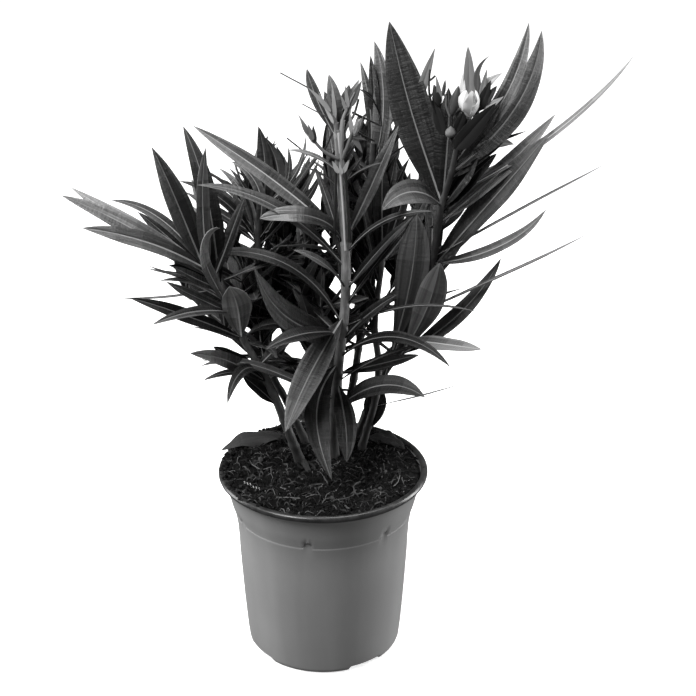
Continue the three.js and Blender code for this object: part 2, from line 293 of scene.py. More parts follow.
# %% Pot outline
POT_STEPS = 240
POT_WALL = 1.6
FOOT = 5.5
FOOT_INNER = 48.0
SHOULDER_Z = 124.5
SHOULDER_INNER = 71.0
SHOULDER_BAND = 2.0
RIM_Z = 157.0
RIM_ROLL = 2.8
RIM_LOWEST = 153.0
RIM_INNER = 79.2
CUTOUTS = (304, 34, 124, 214)
CUTOUT_HALF = 13.5
CUTOUT_SLOPE = 2.0
STACKING_MARKS = [260.4 + i * 360 / 7 for i in range(7)]
MARK_HALF = 2.3
MARK_RISE = 5.0


def arc(centre_r, centre_z, radius, start, end, steps):
    turns = [math.radians(start + (end - start) * i / steps) for i in range(steps + 1)]
    return [(centre_r + radius * math.cos(a), centre_z + radius * math.sin(a)) for a in turns]


outline = [(0.0, 0.0), (30.0, 0.0), (47.4, 0.0), (48.2, 0.0)]
outline += arc(57.5, 6.0, 6.0, -90, 0, 8)
outline += [(64.4, 14.0), (65.7, 30.0), (67.0, 48.0), (68.3, 70.0), (69.2, 85.0), (69.7, 99.0)]
outline += [(70.5, 112.0), (71.5, 118.5), (72.25, SHOULDER_Z - 1.5), (72.5, SHOULDER_Z - 0.4)]
outline += [(72.3, SHOULDER_Z), (72.45, SHOULDER_Z + 0.7), (74.6, 131.0), (76.1, 137.0)]
outline += [(78.3, 146.0), (80.4, 151.5), (81.6, 153.6)]
outline += arc(82.2, RIM_Z, RIM_ROLL, -80, 175, 14)
outline += [(79.0, 153.5), (77.6, 148.0), (71.6, 124.0), (68.8, 118.0), (62.2, 9.0), (60.0, 7.1)]
outline += [(46.4, 7.1), (46.4, POT_WALL), (0.0, POT_WALL)]

# %% Pot mesh
work = spun(outline, POT_STEPS)


def turn_between(heading, other):
    return abs((heading - other + 180) % 360 - 180)


for vert in work.verts:
    radius = math.hypot(vert.co.x, vert.co.y)
    heading = math.degrees(math.atan2(vert.co.y, vert.co.x))
    if radius > FOOT_INNER and vert.co.z < FOOT:
        inside = min(turn_between(heading, cut) for cut in CUTOUTS)
        share = min(1.0, max(0.0, (CUTOUT_HALF + CUTOUT_SLOPE / 2 - inside) / CUTOUT_SLOPE))
        vert.co.z += (FOOT - vert.co.z) * share
    if radius > SHOULDER_INNER and abs(vert.co.z - SHOULDER_Z) < SHOULDER_BAND:
        if min(turn_between(heading, mark) for mark in STACKING_MARKS) < MARK_HALF:
            vert.co.z += MARK_RISE
for face in work.faces:
    centre = face.calc_center_median()
    radius = math.hypot(centre.x, centre.y)
    face.material_index = int(centre.z > RIM_LOWEST and radius > RIM_INNER)
pot_mesh = mesh_of(work, "pot_shell")
print("pot outline has", len(outline), "points")

# %% Pot finish
wall = Pattern("pot_plastic", 0.4)
cloud = wall.noise(22.0, 3.0)
streaks = wall.noise(60.0, 5.0, wall.stretched((1.0, 1.0, 0.06)))
specks = wall.noise(900.0, 2.0)
base = wall.ramp(cloud, (0.3, 0.235), (0.7, 0.265))
streaked = wall.mix(0.3, base, wall.ramp(streaks, (0.35, 0.225), (0.65, 0.285)))
wall.give("Base Color", streaked)
wall.give("Roughness", wall.ramp(streaks, (0.3, 0.36), (0.7, 0.48)))
wall.relief(specks, 0.0001, 0.5)

rim = Pattern("pot_rim", 0.3)
rim_scuffs = rim.noise(120.0, 6.0)
rim.give("Base Color", rim.ramp(rim_scuffs, (0.4, 0.014), (0.75, 0.04)))
rim.give("Roughness", rim.ramp(rim_scuffs, (0.3, 0.24), (0.7, 0.42)))
hand_over("pot_shell", pot_mesh, [wall.material, rim.material], ["pot"])

# %% [markdown]
# ## Many small shapes in one mesh
# Leaves, crumbs, fibres and stalks come in hundreds. Each kind has one closed template made by
# operators. A batch joins as many copies as are needed, and numpy moves each copy's corners to
# their place, which is far quicker than one object for each.

# %% Batches and templates


class Batch:
    """Copies of templates, each with its own corner places and finishes, joined in one mesh."""

    def __init__(self):
        self.work = bmesh.new()
        self.places = []
        self.finishes = []
        self.maps = []

    def add(self, template, places, finishes, blade_map=None):
        self.work.from_mesh(template.mesh)
        self.places.append(places)
        self.maps.append(np.zeros((len(places), 2)) if blade_map is None else blade_map)
        self.finishes.append(np.broadcast_to(finishes, (template.faces,)))

    def mesh(self, name, sharp=50):
        mesh = bpy.data.meshes.new(name)
        self.work.to_mesh(mesh)
        self.work.free()
        places = np.concatenate(self.places).astype(np.float32) * MM
        mesh.vertices.foreach_set("co", places.ravel())
        mesh.polygons.foreach_set("material_index", np.concatenate(self.finishes).astype(np.int32))
        mesh.polygons.foreach_set("use_smooth", np.ones(len(mesh.polygons), bool))
        maps = np.concatenate(self.maps)
        if maps.any():
            corner_of = np.empty(len(mesh.loops), np.int32)
            mesh.loops.foreach_get("vertex_index", corner_of)
            layer = mesh.uv_layers.new(name=BLADE_MAP)
            layer.data.foreach_set("uv", maps[corner_of].astype(np.float32).ravel())
        mesh.update()
        mesh.set_sharp_from_angle(angle=math.radians(sharp))
        return mesh


class Template:
    """A closed mesh and its corners as an array."""

    def __init__(self, work, name):
        bmesh.ops.recalc_face_normals(work, faces=work.faces[:])
        self.mesh = bpy.data.meshes.new(name)
        work.to_mesh(self.mesh)
        self.corners = np.array([vert.co for vert in work.verts])
        self.middles = np.array([face.calc_center_median() for face in work.faces])
        self.normals = np.array([face.normal for face in work.faces])
        self.faces = len(work.faces)
        work.free()


def rod_template(sides, steps):
    """A closed rod: a unit circle pushed upwards in steps, height 0 to 1."""
    work = bmesh.new()
    bmesh.ops.create_circle(work, cap_ends=True, segments=sides, radius=1.0)
    edges = work.edges[:]
    for _ in range(steps):
        made = bmesh.ops.extrude_edge_only(work, edges=edges)["geom"]
        edges = [item for item in made if isinstance(item, bmesh.types.BMEdge)]
        verts = [item for item in made if isinstance(item, bmesh.types.BMVert)]
        bmesh.ops.translate(work, verts=verts, vec=(0, 0, 1.0 / steps))
    bmesh.ops.contextual_create(work, geom=edges)
    return Template(work, f"rod_{sides}_{steps}")


def blade_template(columns, rows):
    """A closed flat blade: x from -1 to 1 across, y from 0 to 1 along, z 1 above and -1 below."""
    work = bmesh.new()
    bmesh.ops.create_grid(work, x_segments=columns, y_segments=rows, size=1.0)
    bmesh.ops.translate(work, verts=work.verts[:], vec=(0, 1, 1))
    bmesh.ops.scale(work, verts=work.verts[:], vec=(1, 0.5, 1))
    made = bmesh.ops.extrude_face_region(work, geom=work.faces[:])
    lower = [item for item in made["geom"] if isinstance(item, bmesh.types.BMVert)]
    bmesh.ops.translate(work, verts=lower, vec=(0, 0, -2))
    return Template(work, f"blade_{columns}_{rows}")


def swept(template, spine, radii):
    """Bends a rod template along a spine of one point for each of its rings."""
    rings = np.rint(template.corners[:, 2] * (len(spine) - 1)).astype(int)
    along = np.gradient(spine, axis=0)
    along /= np.linalg.norm(along, axis=1, keepdims=True)
    side = np.cross(along, (0.31, 0.9, 0.3))
    side /= np.linalg.norm(side, axis=1, keepdims=True)
    other = np.cross(along, side)
    across = template.corners[:, :1] * side[rings] + template.corners[:, 1:2] * other[rings]
    return spine[rings] + across * radii[rings][:, None]


def smooth_route(route, count):
    """Points on a centripetal Catmull-Rom curve through the route."""
    points = np.array(route, float)
    points = np.vstack([2 * points[0] - points[1], points, 2 * points[-1] - points[-2]])
    found = []
    for share in np.linspace(0, len(route) - 1, count):
        index = min(int(share), len(route) - 2)
        layer = points[index : index + 4]
        knots = np.cumsum([0, *np.sqrt(np.linalg.norm(np.diff(layer, axis=0), axis=1))])
        at = knots[1] + (share - index) * (knots[2] - knots[1])
        spans = ((knots[:3], knots[1:]), (knots[:2], knots[2:]), (knots[1:2], knots[2:3]))
        for lows, highs in spans:
            parts = ((at - lows) / (highs - lows))[:, None]
            layer = layer[:-1] * (1 - parts) + layer[1:] * parts
        found.append(layer[0])
    return np.array(found)


print("templates ready")

# %% [markdown]
# ## Peat
# The pot is filled with fibrous peat. Its top is a disc of fine rings, pushed up and down by
# noise of four sizes and heaped towards the back left. Crumbs lie on it, with fine roots and
# fibres, most of them dark and a few nearly white, and some pale chips.

# %% Peat surface
PEAT_LEVEL = 156.0
PEAT_RADIUS = 78.5
PEAT_RINGS = 64
PEAT_STEPS = 230
HEAPS = [  # x, y, rise and spread
    (-50, 42, 4.5, 26), (45, 48, 2.5, 24), (-62, 0, 2.6, 18), (-12, -2, 2.0, 20),
]


def peat_height(x, y):
    """Height of the peat above its level at one place."""
    place = Vector((x, y, 0.0))
    lumps = 1.4 * noise.noise(place / 21) + 2.0 * noise.noise(place / 8.5)
    lumps += 2.2 * noise.noise(place / 4.4) + 1.3 * noise.noise(place / 2.3)
    pits = -2.4 * max(0.0, noise.noise(place / 5.2 + Vector((7, 3, 1))) - 0.12)
    heap = sum(
        rise * math.exp(-((x - a) ** 2 + (y - b) ** 2) / spread**2) for a, b, rise, spread in HEAPS
    )
    edge = min(1.0, (PEAT_RADIUS - math.hypot(x, y)) / 6 + 0.35)
    return (0.9 + lumps + pits) * edge + heap


peat_profile = [(0.0, 7.5), (59.5, 7.5), (67.6, 117.0), (70.2, 123.5), (76.2, 148.0)]
peat_profile.append((PEAT_RADIUS, 153.0))
for ring in range(PEAT_RINGS, -1, -1):
    peat_profile.append(((PEAT_RADIUS - 0.2) * ring / PEAT_RINGS, PEAT_LEVEL))
work = spun(peat_profile, PEAT_STEPS)
for vert in work.verts:
    if vert.co.z > PEAT_LEVEL - 0.5:
        vert.co.z += peat_height(vert.co.x, vert.co.y)
peat_mesh = mesh_of(work, "peat", sharp=80)

peat = Pattern("peat", 0.95)
peat.give("Specular IOR Level", 0.15)
grains = peat.noise(700.0, 6.0, roughness=0.7)
patches = peat.noise(90.0, 5.0)
fibrous = peat.noise(260.0, 5.0, peat.stretched((1.0, 0.16, 1.0)), 0.65)
peat_grey = peat.mix(peat.ramp(patches, (0.4, 0.0), (0.65, 1.0)), neutral(0.002), neutral(0.007))
peat_grey = peat.mix(peat.ramp(grains, (0.6, 0.0), (0.72, 0.8)), peat_grey, neutral(0.03))
peat_grey = peat.mix(peat.ramp(fibrous, (0.66, 0.0), (0.72, 0.5)), peat_grey, neutral(0.06))
peat.give("Base Color", peat_grey)
peat.relief(grains, 0.0015, 1.0)
hand_over("peat", peat_mesh, [peat.material], ["soil"])

# %% Crumbs and chips
CRUMBS = 900
CHIPS = 50
SPILLED = 190
RIM_CREST, RIM_TOP = 82.0, 159.6
CRUMB_TONES = (0, 0, 1, 1, 1, 2, 2, 3)
CHIP_TONES = (3, 4)
SPILLED_TONES = (0, 0, 1, 1, 2)
dice = random.Random(11)
peat_greys = [
    plain(f"peat_crumb_{i}", g, 0.9, Specular_IOR_Level=0.15)
    for i, g in enumerate((0.003, 0.01, 0.026, 0.065, 0.17, 0.38))
]


def soil_spot():
    """A random place on the peat and its height."""
    turn = dice.uniform(0, math.tau)
    radius = (PEAT_RADIUS - 2.0) * math.sqrt(dice.random())
    x, y = radius * math.cos(turn), radius * math.sin(turn)
    return np.array([x, y, PEAT_LEVEL + peat_height(x, y)])


work = bmesh.new()
bmesh.ops.create_icosphere(work, subdivisions=1, radius=1.0)
lump = Template(work, "lump")
crumbs = Batch()
for number in range(CRUMBS + CHIPS):
    chip = number >= CRUMBS
    size = np.array([dice.uniform(0.5, 1.8) for _ in range(3)]) * dice.choice((0.6, 0.8, 1.0, 1.4))
    if chip:
        size = np.array([dice.uniform(0.5, 1.3), dice.uniform(0.4, 0.8), 0.3])
    uneven = np.array([[dice.uniform(0.7, 1.25)] for _ in lump.corners])
    turn = dice.uniform(0, math.tau)
    cos, sin = math.cos(turn), math.sin(turn)
    turned = np.array([[cos, -sin, 0], [sin, cos, 0], [0, 0, 1]])
    places = (lump.corners * uneven * size) @ turned.T + soil_spot() + (0, 0, size[2] * 0.45)
    crumbs.add(lump, places, dice.choice(CHIP_TONES if chip else CRUMB_TONES))
for _ in range(SPILLED):  # peat that has spilled on the rim at the left and the back
    turn, radius = math.radians(dice.gauss(168, 28)), dice.uniform(77, 84)
    size = np.array([dice.uniform(0.7, 2.1) for _ in range(3)])
    uneven = np.array([[dice.uniform(0.7, 1.25)] for _ in lump.corners])
    fallen = 0.12 * max(0, radius - RIM_CREST) ** 2
    spot = (radius * math.cos(turn), radius * math.sin(turn), RIM_TOP - fallen)
    crumbs.add(lump, lump.corners * uneven * size + spot, dice.choice(SPILLED_TONES))
hand_over("peat_crumbs", crumbs.mesh("peat_crumbs", sharp=40), peat_greys)

# %% Fibres and roots
STRAND_STEPS = 8
ROOTLETS = 9
strand = rod_template(4, STRAND_STEPS)
fibres = Batch()


def lay_fibre(length, thick, arch, bend, tone):
    """A fibre that wanders over the peat and arches clear of it."""
    spine, turn = [soil_spot()], dice.uniform(0, math.tau)
    for step in range(1, STRAND_STEPS + 1):
        turn += bend / STRAND_STEPS + dice.uniform(-0.3, 0.3)
        x = spine[-1][0] + math.cos(turn) * length / STRAND_STEPS
        y = spine[-1][1] + math.sin(turn) * length / STRAND_STEPS
        pull = min(1.0, (PEAT_RADIUS + 1) / math.hypot(x, y))
        x, y = x * pull, y * pull
        over = thick + arch * math.sin(math.pi * step / STRAND_STEPS)
        spine.append(np.array([x, y, PEAT_LEVEL + peat_height(x, y) + over]))
    radii = thick * np.array([0.5, 0.9, 1.0, 0.8, 1.0, 1.1, 0.9, 0.8, 0.4])
    fibres.add(strand, swept(strand, np.array(spine), radii), tone)


FIBRES = [
    # how many, length, thickness, arch, bend, tones
    (1100, (3, 12), (0.2, 0.7), (0, 2.4), (-1.1, 1.1), (0, 0, 0, 1, 1, 2, 3)),  # torn shreds
    (260, (5, 16), (0.14, 0.26), (0.4, 2.2), (-1.2, 1.2), (2, 2, 3, 4)),  # fine roots
]
for count, *spans, tones in FIBRES:
    for _ in range(count):
        lay_fibre(*[dice.uniform(*span) for span in spans], dice.choice(tones))

ROOTS = [
    # the places a pale root runs through, its thickness and its tone
    ([(-18, 10), (-15, 2), (-13, -5), (-11, -11)], 3.0, 2),
    ([(-21, 9), (-20, 1), (-16, -5)], 1.6, 1),
    ([(-12, 7), (-8, 0), (-6, -7)], 1.3, 2),
    ([(30, -26), (24, -34), (26, -42), (21, -50), (12, -52)], 0.9, 3),
    ([(-34, -30), (-27, -38), (-24, -46), (-20, -53)], 0.5, 4),
    ([(-36, -52), (-26, -50), (-16, -52), (-6, -49)], 0.45, 4),
    ([(-6, -36), (-2, -44), (2, -52), (4, -58)], 0.4, 3),
    ([(-58, 0), (-50, -4), (-42, -3)], 0.45, 4), ([(56, -30), (60, -24), (62, -16)], 0.5, 4),
]
for spots, thick, tone in ROOTS:
    places = [(x, y, PEAT_LEVEL + peat_height(x, y) + 1.6) for x, y in spots]
    spine = smooth_route(places, STRAND_STEPS + 1)
    fibres.add(strand, swept(strand, spine, thick * np.linspace(1, 0.6, STRAND_STEPS + 1)), tone)
for step in range(ROOTLETS):  # a row of short pale rootlets
    x, y = -63 + 2.4 * step, -24 - 1.5 * step
    z = PEAT_LEVEL + peat_height(x, y) + 0.8
    places = [(x, y, z), (x + 0.5, y - 1.5, z + 1.2), (x + 1.2, y - 3.4, z + 0.4)]
    spine = smooth_route(places, STRAND_STEPS + 1)
    fibres.add(strand, swept(strand, spine, np.full(STRAND_STEPS + 1, 0.32)), 5)
hand_over("peat_fibres", fibres.mesh("peat_fibres", sharp=80), peat_greys)

# %% [markdown]
# ## Canes
# Seven canes rise from one root below the peat. Each follows a few points through which a
# smooth curve runs. The rod template has a ring every millimetre or two, so the bark gets its
# relief from the mesh: a swelling and leaf scars at each node, long furrows, and a foot that is
# wider and knobbly where it meets the peat. Each cane has a radius at its foot, one at its tip
# and the places its route runs through, which were measured and then rounded.

# %% Cane routes
SOIL = 153.0
CANES = {
    "middle": (4.4, 3.2, [
        (8, 20, SOIL), (10, 16, 211), (13, 12, 248), (18, 8, 299), (18, 4, 348), (14, 0, 415),
        (13, -2, 442),
    ]),
    "left": (4.2, 2.6, [
        (-17, 11, SOIL), (-27, 2, 188), (-37, 0, 219), (-47, -2, 244), (-61, -6, 274),
        (-71, -10, 307), (-88, -16, 340),
    ]),
    "right": (3.9, 2.3, [
        (26, 58, SOIL), (51, 58, 217), (61, 56, 233), (74, 46, 287), (86, 36, 320), (90, 28, 351),
        (92, 22, 374), (98, 16, 400), (102, 14, 422),
    ]),
    "back_middle": (3.4, 2.4, [
        (10, 64, SOIL), (22, 70, 190), (30, 73, 240), (36, 76, 300), (38, 78, 360), (40, 78, 408),
    ]),
    "back_right": (3.4, 2.2, [
        (30, 34, SOIL), (43, 36, 205), (45, 38, 236), (42, 44, 262), (48, 58, 318),
    ]),
    "back_left": (3.6, 2.4, [
        (-13, 46, SOIL), (-32, 48, 197), (-44, 50, 223), (-48, 54, 270), (-52, 62, 330),
        (-50, 66, 372),
    ]),
    "low_back": (3.2, 2.2, [
        (-8, 66, SOIL), (-12, 84, 215), (-14, 98, 280), (-12, 108, 330),
    ]),
}
NODE_HEIGHTS = {
    "middle": (176, 200, 236, 275, 314, 350, 378, 415, 437),
    "left": (176, 200, 226, 246, 288, 306, 337),
    "right": (180, 204, 230, 254, 288, 328, 362, 376, 404),
}
FRONT_CANES = ("left", "middle", "right")
BACK_CANES = [name for name in CANES if name not in FRONT_CANES]
CURVE_POINTS = 240
FOOT_FLARE = 0.35
FLARE_HEIGHT = 16

curves = {name: smooth_route(route, CURVE_POINTS) for name, (_, _, route) in CANES.items()}


def cane_at(name, height):
    """The middle of a cane at one height or at an array of heights."""
    curve = curves[name]
    x, y = (np.interp(height, curve[:, 2], curve[:, axis]) for axis in (0, 1))
    return np.stack([x, y, np.asarray(height, float)], axis=-1)


def cane_radius(name, height):
    foot, tip, _ = CANES[name]
    bottom, top = curves[name][0, 2], curves[name][-1, 2]
    flare = np.clip(1 - (height - bottom) / FLARE_HEIGHT, 0, 1)
    return (foot + (tip - foot) * (height - bottom) / (top - bottom)) * (1 + FOOT_FLARE * flare)


print("cane tops", {name: float(round(curve[-1, 2])) for name, curve in curves.items()})

# %% Cane finish
BARK_TOP = 500


def bark(name, *greys):
    """Bark whose grey changes with height: (height in mm, grey), ..."""
    made = Pattern(name, 0.6)
    height = made.node("SeparateXYZ", Vector=made.place).outputs["Z"]
    ranged = made.node("MapRange", Value=height)
    ranged.inputs["From Max"].default_value = BARK_TOP * MM
    base = made.ramp(ranged.outputs["Result"], *[(z / BARK_TOP, grey) for z, grey in greys])
    furrows = made.noise(420.0, 5.0, made.stretched((1.0, 1.0, 0.09)), 0.6)
    blotches = made.noise(160.0, 4.0)
    shaded = made.mix(0.75, base, made.ramp(furrows, (0.35, 0.35), (0.7, 1.0)), "MULTIPLY")
    shaded = made.mix(0.5, shaded, made.ramp(blotches, (0.35, 0.45), (0.65, 1.0)), "MULTIPLY")
    made.give("Base Color", shaded)
    made.give("Roughness", made.ramp(furrows, (0.3, 0.72), (0.7, 0.5)))
    made.relief(furrows, 0.0006, 0.7)
    return made.material


BARK_GREYS = {
    "middle": [(153, 0.05), (245, 0.07), (266, 0.26), (330, 0.34), (442, 0.38)],
    "left": [(153, 0.06), (195, 0.045), (225, 0.1), (262, 0.12), (290, 0.06), (340, 0.08)],
    "right": [(153, 0.025), (300, 0.035), (358, 0.06), (375, 0.15), (392, 0.04), (422, 0.04)],
    "back": [(153, 0.05), (300, 0.04), (400, 0.07), (450, 0.08)],
}
BARK = {place: bark(f"bark_{place}", *greys) for place, greys in BARK_GREYS.items()}
print("bark finishes:", len(BARK))

# %% Cane meshes
CANE_RING = 1.6
CANE_SIDES = 18
CANE_SUNK = 1.5
BACK_NODES_FROM, BACK_NODE_GAP = 178, 27


def node_heights(name):
    """Where the whorls of leaves sit on a cane."""
    if name in NODE_HEIGHTS:
        return NODE_HEIGHTS[name]
    return tuple(range(BACK_NODES_FROM, int(curves[name][-1, 2]), BACK_NODE_GAP))


def cane_places(template, name):
    """Where the corners of a rod go when it is bent to a cane and given its bark's relief."""
    bottom, top = curves[name][0, 2] - CANE_SUNK, curves[name][-1, 2]
    heights = bottom + template.corners[:, 2] * (top - bottom)
    turns = np.arctan2(template.corners[:, 1], template.corners[:, 0])
    radii = cane_radius(name, heights)
    swell = sum(0.16 * np.exp(-(((heights - node) / 2.4) ** 2)) for node in node_heights(name))
    scars = sum(
        0.07 * np.exp(-(((heights - node - 3.6) / 0.9) ** 2)) * np.cos(1.5 * turns + node) ** 2
        for node in node_heights(name)
    )
    ridges = 0.05 * np.cos(3 * turns + heights / 60) * np.clip((heights - 250) / 60, 0, 1)
    rough = []
    for turn, height in zip(turns, heights):
        knobs = 0.1 * max(0.0, 1 - (height - bottom) / 40)
        place = Vector((math.cos(turn) * 2.2, math.sin(turn) * 2.2, height / 14))
        rough.append(0.045 * noise.noise(place) + knobs * noise.noise(place * 2.1))
    radii = radii * (1 + swell - scars + ridges + np.array(rough))
    places = cane_at(name, heights)
    places[:, 0] += radii * np.cos(turns)
    places[:, 1] += radii * np.sin(turns)
    on_axis = np.hypot(template.corners[:, 0], template.corners[:, 1]) < 0.5
    places[on_axis] = cane_at(name, heights[on_axis])
    return places


for name in CANES:
    rings = math.ceil((curves[name][-1, 2] - SOIL) / CANE_RING)
    rod = rod_template(CANE_SIDES, rings)
    batch = Batch()
    batch.add(rod, cane_places(rod, name), 0)
    finish = BARK.get(name, BARK["back"])
    mesh = batch.mesh(f"bark_{name}", sharp=70)
    hand_over(f"bark_{name}", mesh, [finish], [f"cane_{name}"])

# %% [markdown]
# ## Leaves
# An oleander leaf is long, narrow and leathery: it tapers to a short stalk and to a sharp tip, it
# is folded a little along its midrib, and its edges roll down. Each leaf is the closed blade
# template bent along a spine. The spine starts on a cane and has a heading, a rise from level
# and a droop. The fold, the rolled edge, the raised midrib and, on broad leaves, the fine side
# veins are in the mesh itself. Leaves that the rule grows use a template of few faces.

# %% Leaf shape
LEAF_THICKNESS = 0.7
LEAF_BEND = 1.3
STALK_HALF = 1.1
STALK_SHARE = 0.22
RIB_HALF = 0.85
VEIN_PITCH = 3.2
VEIN_RELIEF = 0.12
COLUMNS = {"broad": 14, "front": 8, "grown": 4, "bract": 6}
ROWS = {"broad": 84, "front": 24, "grown": 8, "bract": 10}
BLADES = {kind: blade_template(COLUMNS[kind], ROWS[kind]) for kind in COLUMNS}


def spine_of(start, heading, rise, length, droop, sweep, steps, bend=LEAF_BEND):
    """The spine's points, its direction and its level side vector at each of them."""
    share = np.linspace(0, 1, steps + 1)
    turn = np.radians(heading + sweep * share)
    tilt = np.radians(rise - droop * share**bend)
    level = np.stack([-np.sin(turn), np.cos(turn), np.zeros_like(turn)], axis=1)
    out = np.cos(tilt)
    along = np.stack([out * np.cos(turn), out * np.sin(turn), np.sin(tilt)], axis=1)
    moves = (along[1:] + along[:-1]) / 2 * (length / steps)
    return start + np.vstack([np.zeros(3), np.cumsum(moves, axis=0)]), along, level


def half_width(share, width, widest, taper):
    """Half the blade's width along it: a narrow stalk, widest near the middle, a sharp tip."""
    body = share ** (taper * widest / (1 - widest)) * (1 - share) ** taper
    body = width / 2 * body / body.max()
    stalk = STALK_HALF * np.clip(1 - share / STALK_SHARE, 0.06, 1) * min(1, width / 8)
    return np.maximum(body, stalk)


def blade_places(kind, start, heading, rise, length, width, droop=0, sweep=0, roll=0, fold=16,
                 bend=LEAF_BEND, curl=0.12, twist=0, wave=0.05, phase=0.0, widest=0.48, taper=0.92):
    """Where the corners of one blade go, and their places on the flat blade in mm."""
    template, columns = BLADES[kind], COLUMNS[kind]
    across, share, side = template.corners.T
    steps = ROWS[kind]
    row = np.rint(share * steps).astype(int)
    spine, along, level = spine_of(start, heading, rise, length, droop, sweep, steps, bend)
    run = np.linspace(0, 1, steps + 1)
    angle = np.radians(roll + twist * run)[:, None]
    upright = np.cross(along, level)
    left = -(level * np.cos(angle) + upright * np.sin(angle))
    up = np.cross(left, along)
    half = half_width(run, width, widest, taper)[row]
    rib = np.minimum(0.4 * half, RIB_HALF * min(1.0, 0.3 + width / 24) * (1 - 0.72 * share))
    first = 2 / columns
    reach = np.abs(across)
    on_rib = reach < first + 0.01
    out = np.where(on_rib, reach / first * rib, rib + (reach - first) / (1 - first) * (half - rib))
    edge = out / half
    folded = np.radians(fold) * (1 - 0.45 * share)
    thick = LEAF_THICKNESS * np.minimum(1, half / 3) * (1 - 0.45 * edge)
    thick = np.maximum(thick, 1.5 * np.clip(1 - share / 0.1, 0, 1) * min(1, width / 12))
    ripple = np.sin(math.tau * (1.6 * share + phase)) * np.sign(across)
    ripple = ripple + np.sin(math.tau * (2.3 * share + 2 * phase))
    lift = out * np.sin(folded) - curl * half * edge**3 + side * thick / 2
    lift += wave * half * edge**2 * ripple
    lift -= np.where(on_rib & (side < 0), 0.5 * (1 - 0.7 * share) * min(1, width / 16), 0)
    lift -= np.where((reach < 0.01) & (side > 0), 0.18 * min(1, width / 16), 0)
    if kind == "broad":
        pitch = math.tau * (share * length - 0.45 * out) / VEIN_PITCH
        lift += VEIN_RELIEF * np.sin(pitch) * np.clip(4 * edge * (1 - edge), 0, 1) * ~on_rib
    shift = 0.012 * length * np.sin(math.tau * (0.8 * share + phase)) * share * (1 - share)
    flat = np.sign(across) * out * np.cos(folded) + shift
    blade_map = np.stack([np.sign(across) * out + 40 * phase, share * length + 300 * phase], axis=1)
    return spine[row] + left[row] * flat[:, None] + up[row] * lift[:, None], blade_map


STRIP_SHADES = (-1, 0, 0, 0, 0, 1)
PAINTED_LIGHT_OUTWARDS = 4.6


def blade_finishes(kind, tone, halves=0, tip=0):
    """The finish of each face: upper, under or rib. Each strip along the blade has its own grey,
    the margins are paler as a painted highlight, the blade is painted darker towards its foot and
    paler towards its tip as painted shade and light, and one half may be painted lighter or darker
    as light falls on the fold; the tip may be paler too."""
    template, columns = BLADES[kind], COLUMNS[kind]
    across, share = template.middles[:, 0], template.middles[:, 1]
    flat = np.abs(template.normals[:, 2]) > 0.5
    top = template.normals[:, 2] > 0.5
    on_rib = flat & (np.abs(across) < 2 / columns)
    strip = np.clip(((across + 1) / 2 * columns).astype(int), 0, columns - 1)
    strips = np.array([streak_dice.choice(STRIP_SHADES) for _ in range(columns)])
    # the two margin strips are one step paler: a painted highlight along the edges
    strips[[0, -1]] += 1
    # painted shade towards the blade's foot and painted light towards its tip
    outwards = np.rint(PAINTED_LIGHT_OUTWARDS * (share - 0.42)).astype(int)
    shade = 1 + SHADES_PER_TONE * tone + strips[strip] + outwards
    outer = np.clip((share - 0.45) / 0.3, 0, 1)
    # one half of the blade may be painted lighter or darker, as light falls on a folded leaf; the
    # tip may be given paler greys too
    shade = shade + np.where(across > 0, halves, 0) + np.rint(tip * outer).astype(int)
    shade = np.clip(shade, 0, TONES - 1)
    rib = np.rint(2 + SHADES_PER_TONE * tone + 1.5 * (0.4 - share)).astype(int)
    rib = np.clip(rib, 0, TONES - 1)
    return np.where(on_rib, 2 * TONES + rib, np.where(top, shade, TONES + shade))


def leaf_start(cane, height, heading):
    """The leaf's stalk leaves the cane's surface at a node."""
    turn = math.radians(heading)
    away = np.array([math.cos(turn), math.sin(turn), 0.0])
    return cane_at(cane, height) + away * cane_radius(cane, height) * 0.8


leaves = {name: Batch() for name in CANES}
leaf_dice = random.Random(5)
streak_dice = random.Random(8)


def grow_leaf(cane, kind, tone, start, *row, **more):
    """Adds one leaf to a cane's foliage. What it isn't told, the dice choose."""
    more.setdefault("phase", leaf_dice.random())
    more.setdefault("fold", leaf_dice.uniform(16, 26))
    # one half of the blade is painted lighter or darker, at random unless the row gives it: painted
    # light on a folded leaf
    halves = more.pop("halves", leaf_dice.choice((-2, -1, 0, 0, 1, 2)))
    tip = more.pop("tip", 0)
    places, blade_map = blade_places(kind, np.array(start, float), *row, **more)
    leaves[cane].add(BLADES[kind], places, blade_finishes(kind, tone, halves, tip), blade_map)


print("blade triangles", {kind: 2 * blade.faces for kind, blade in BLADES.items()})
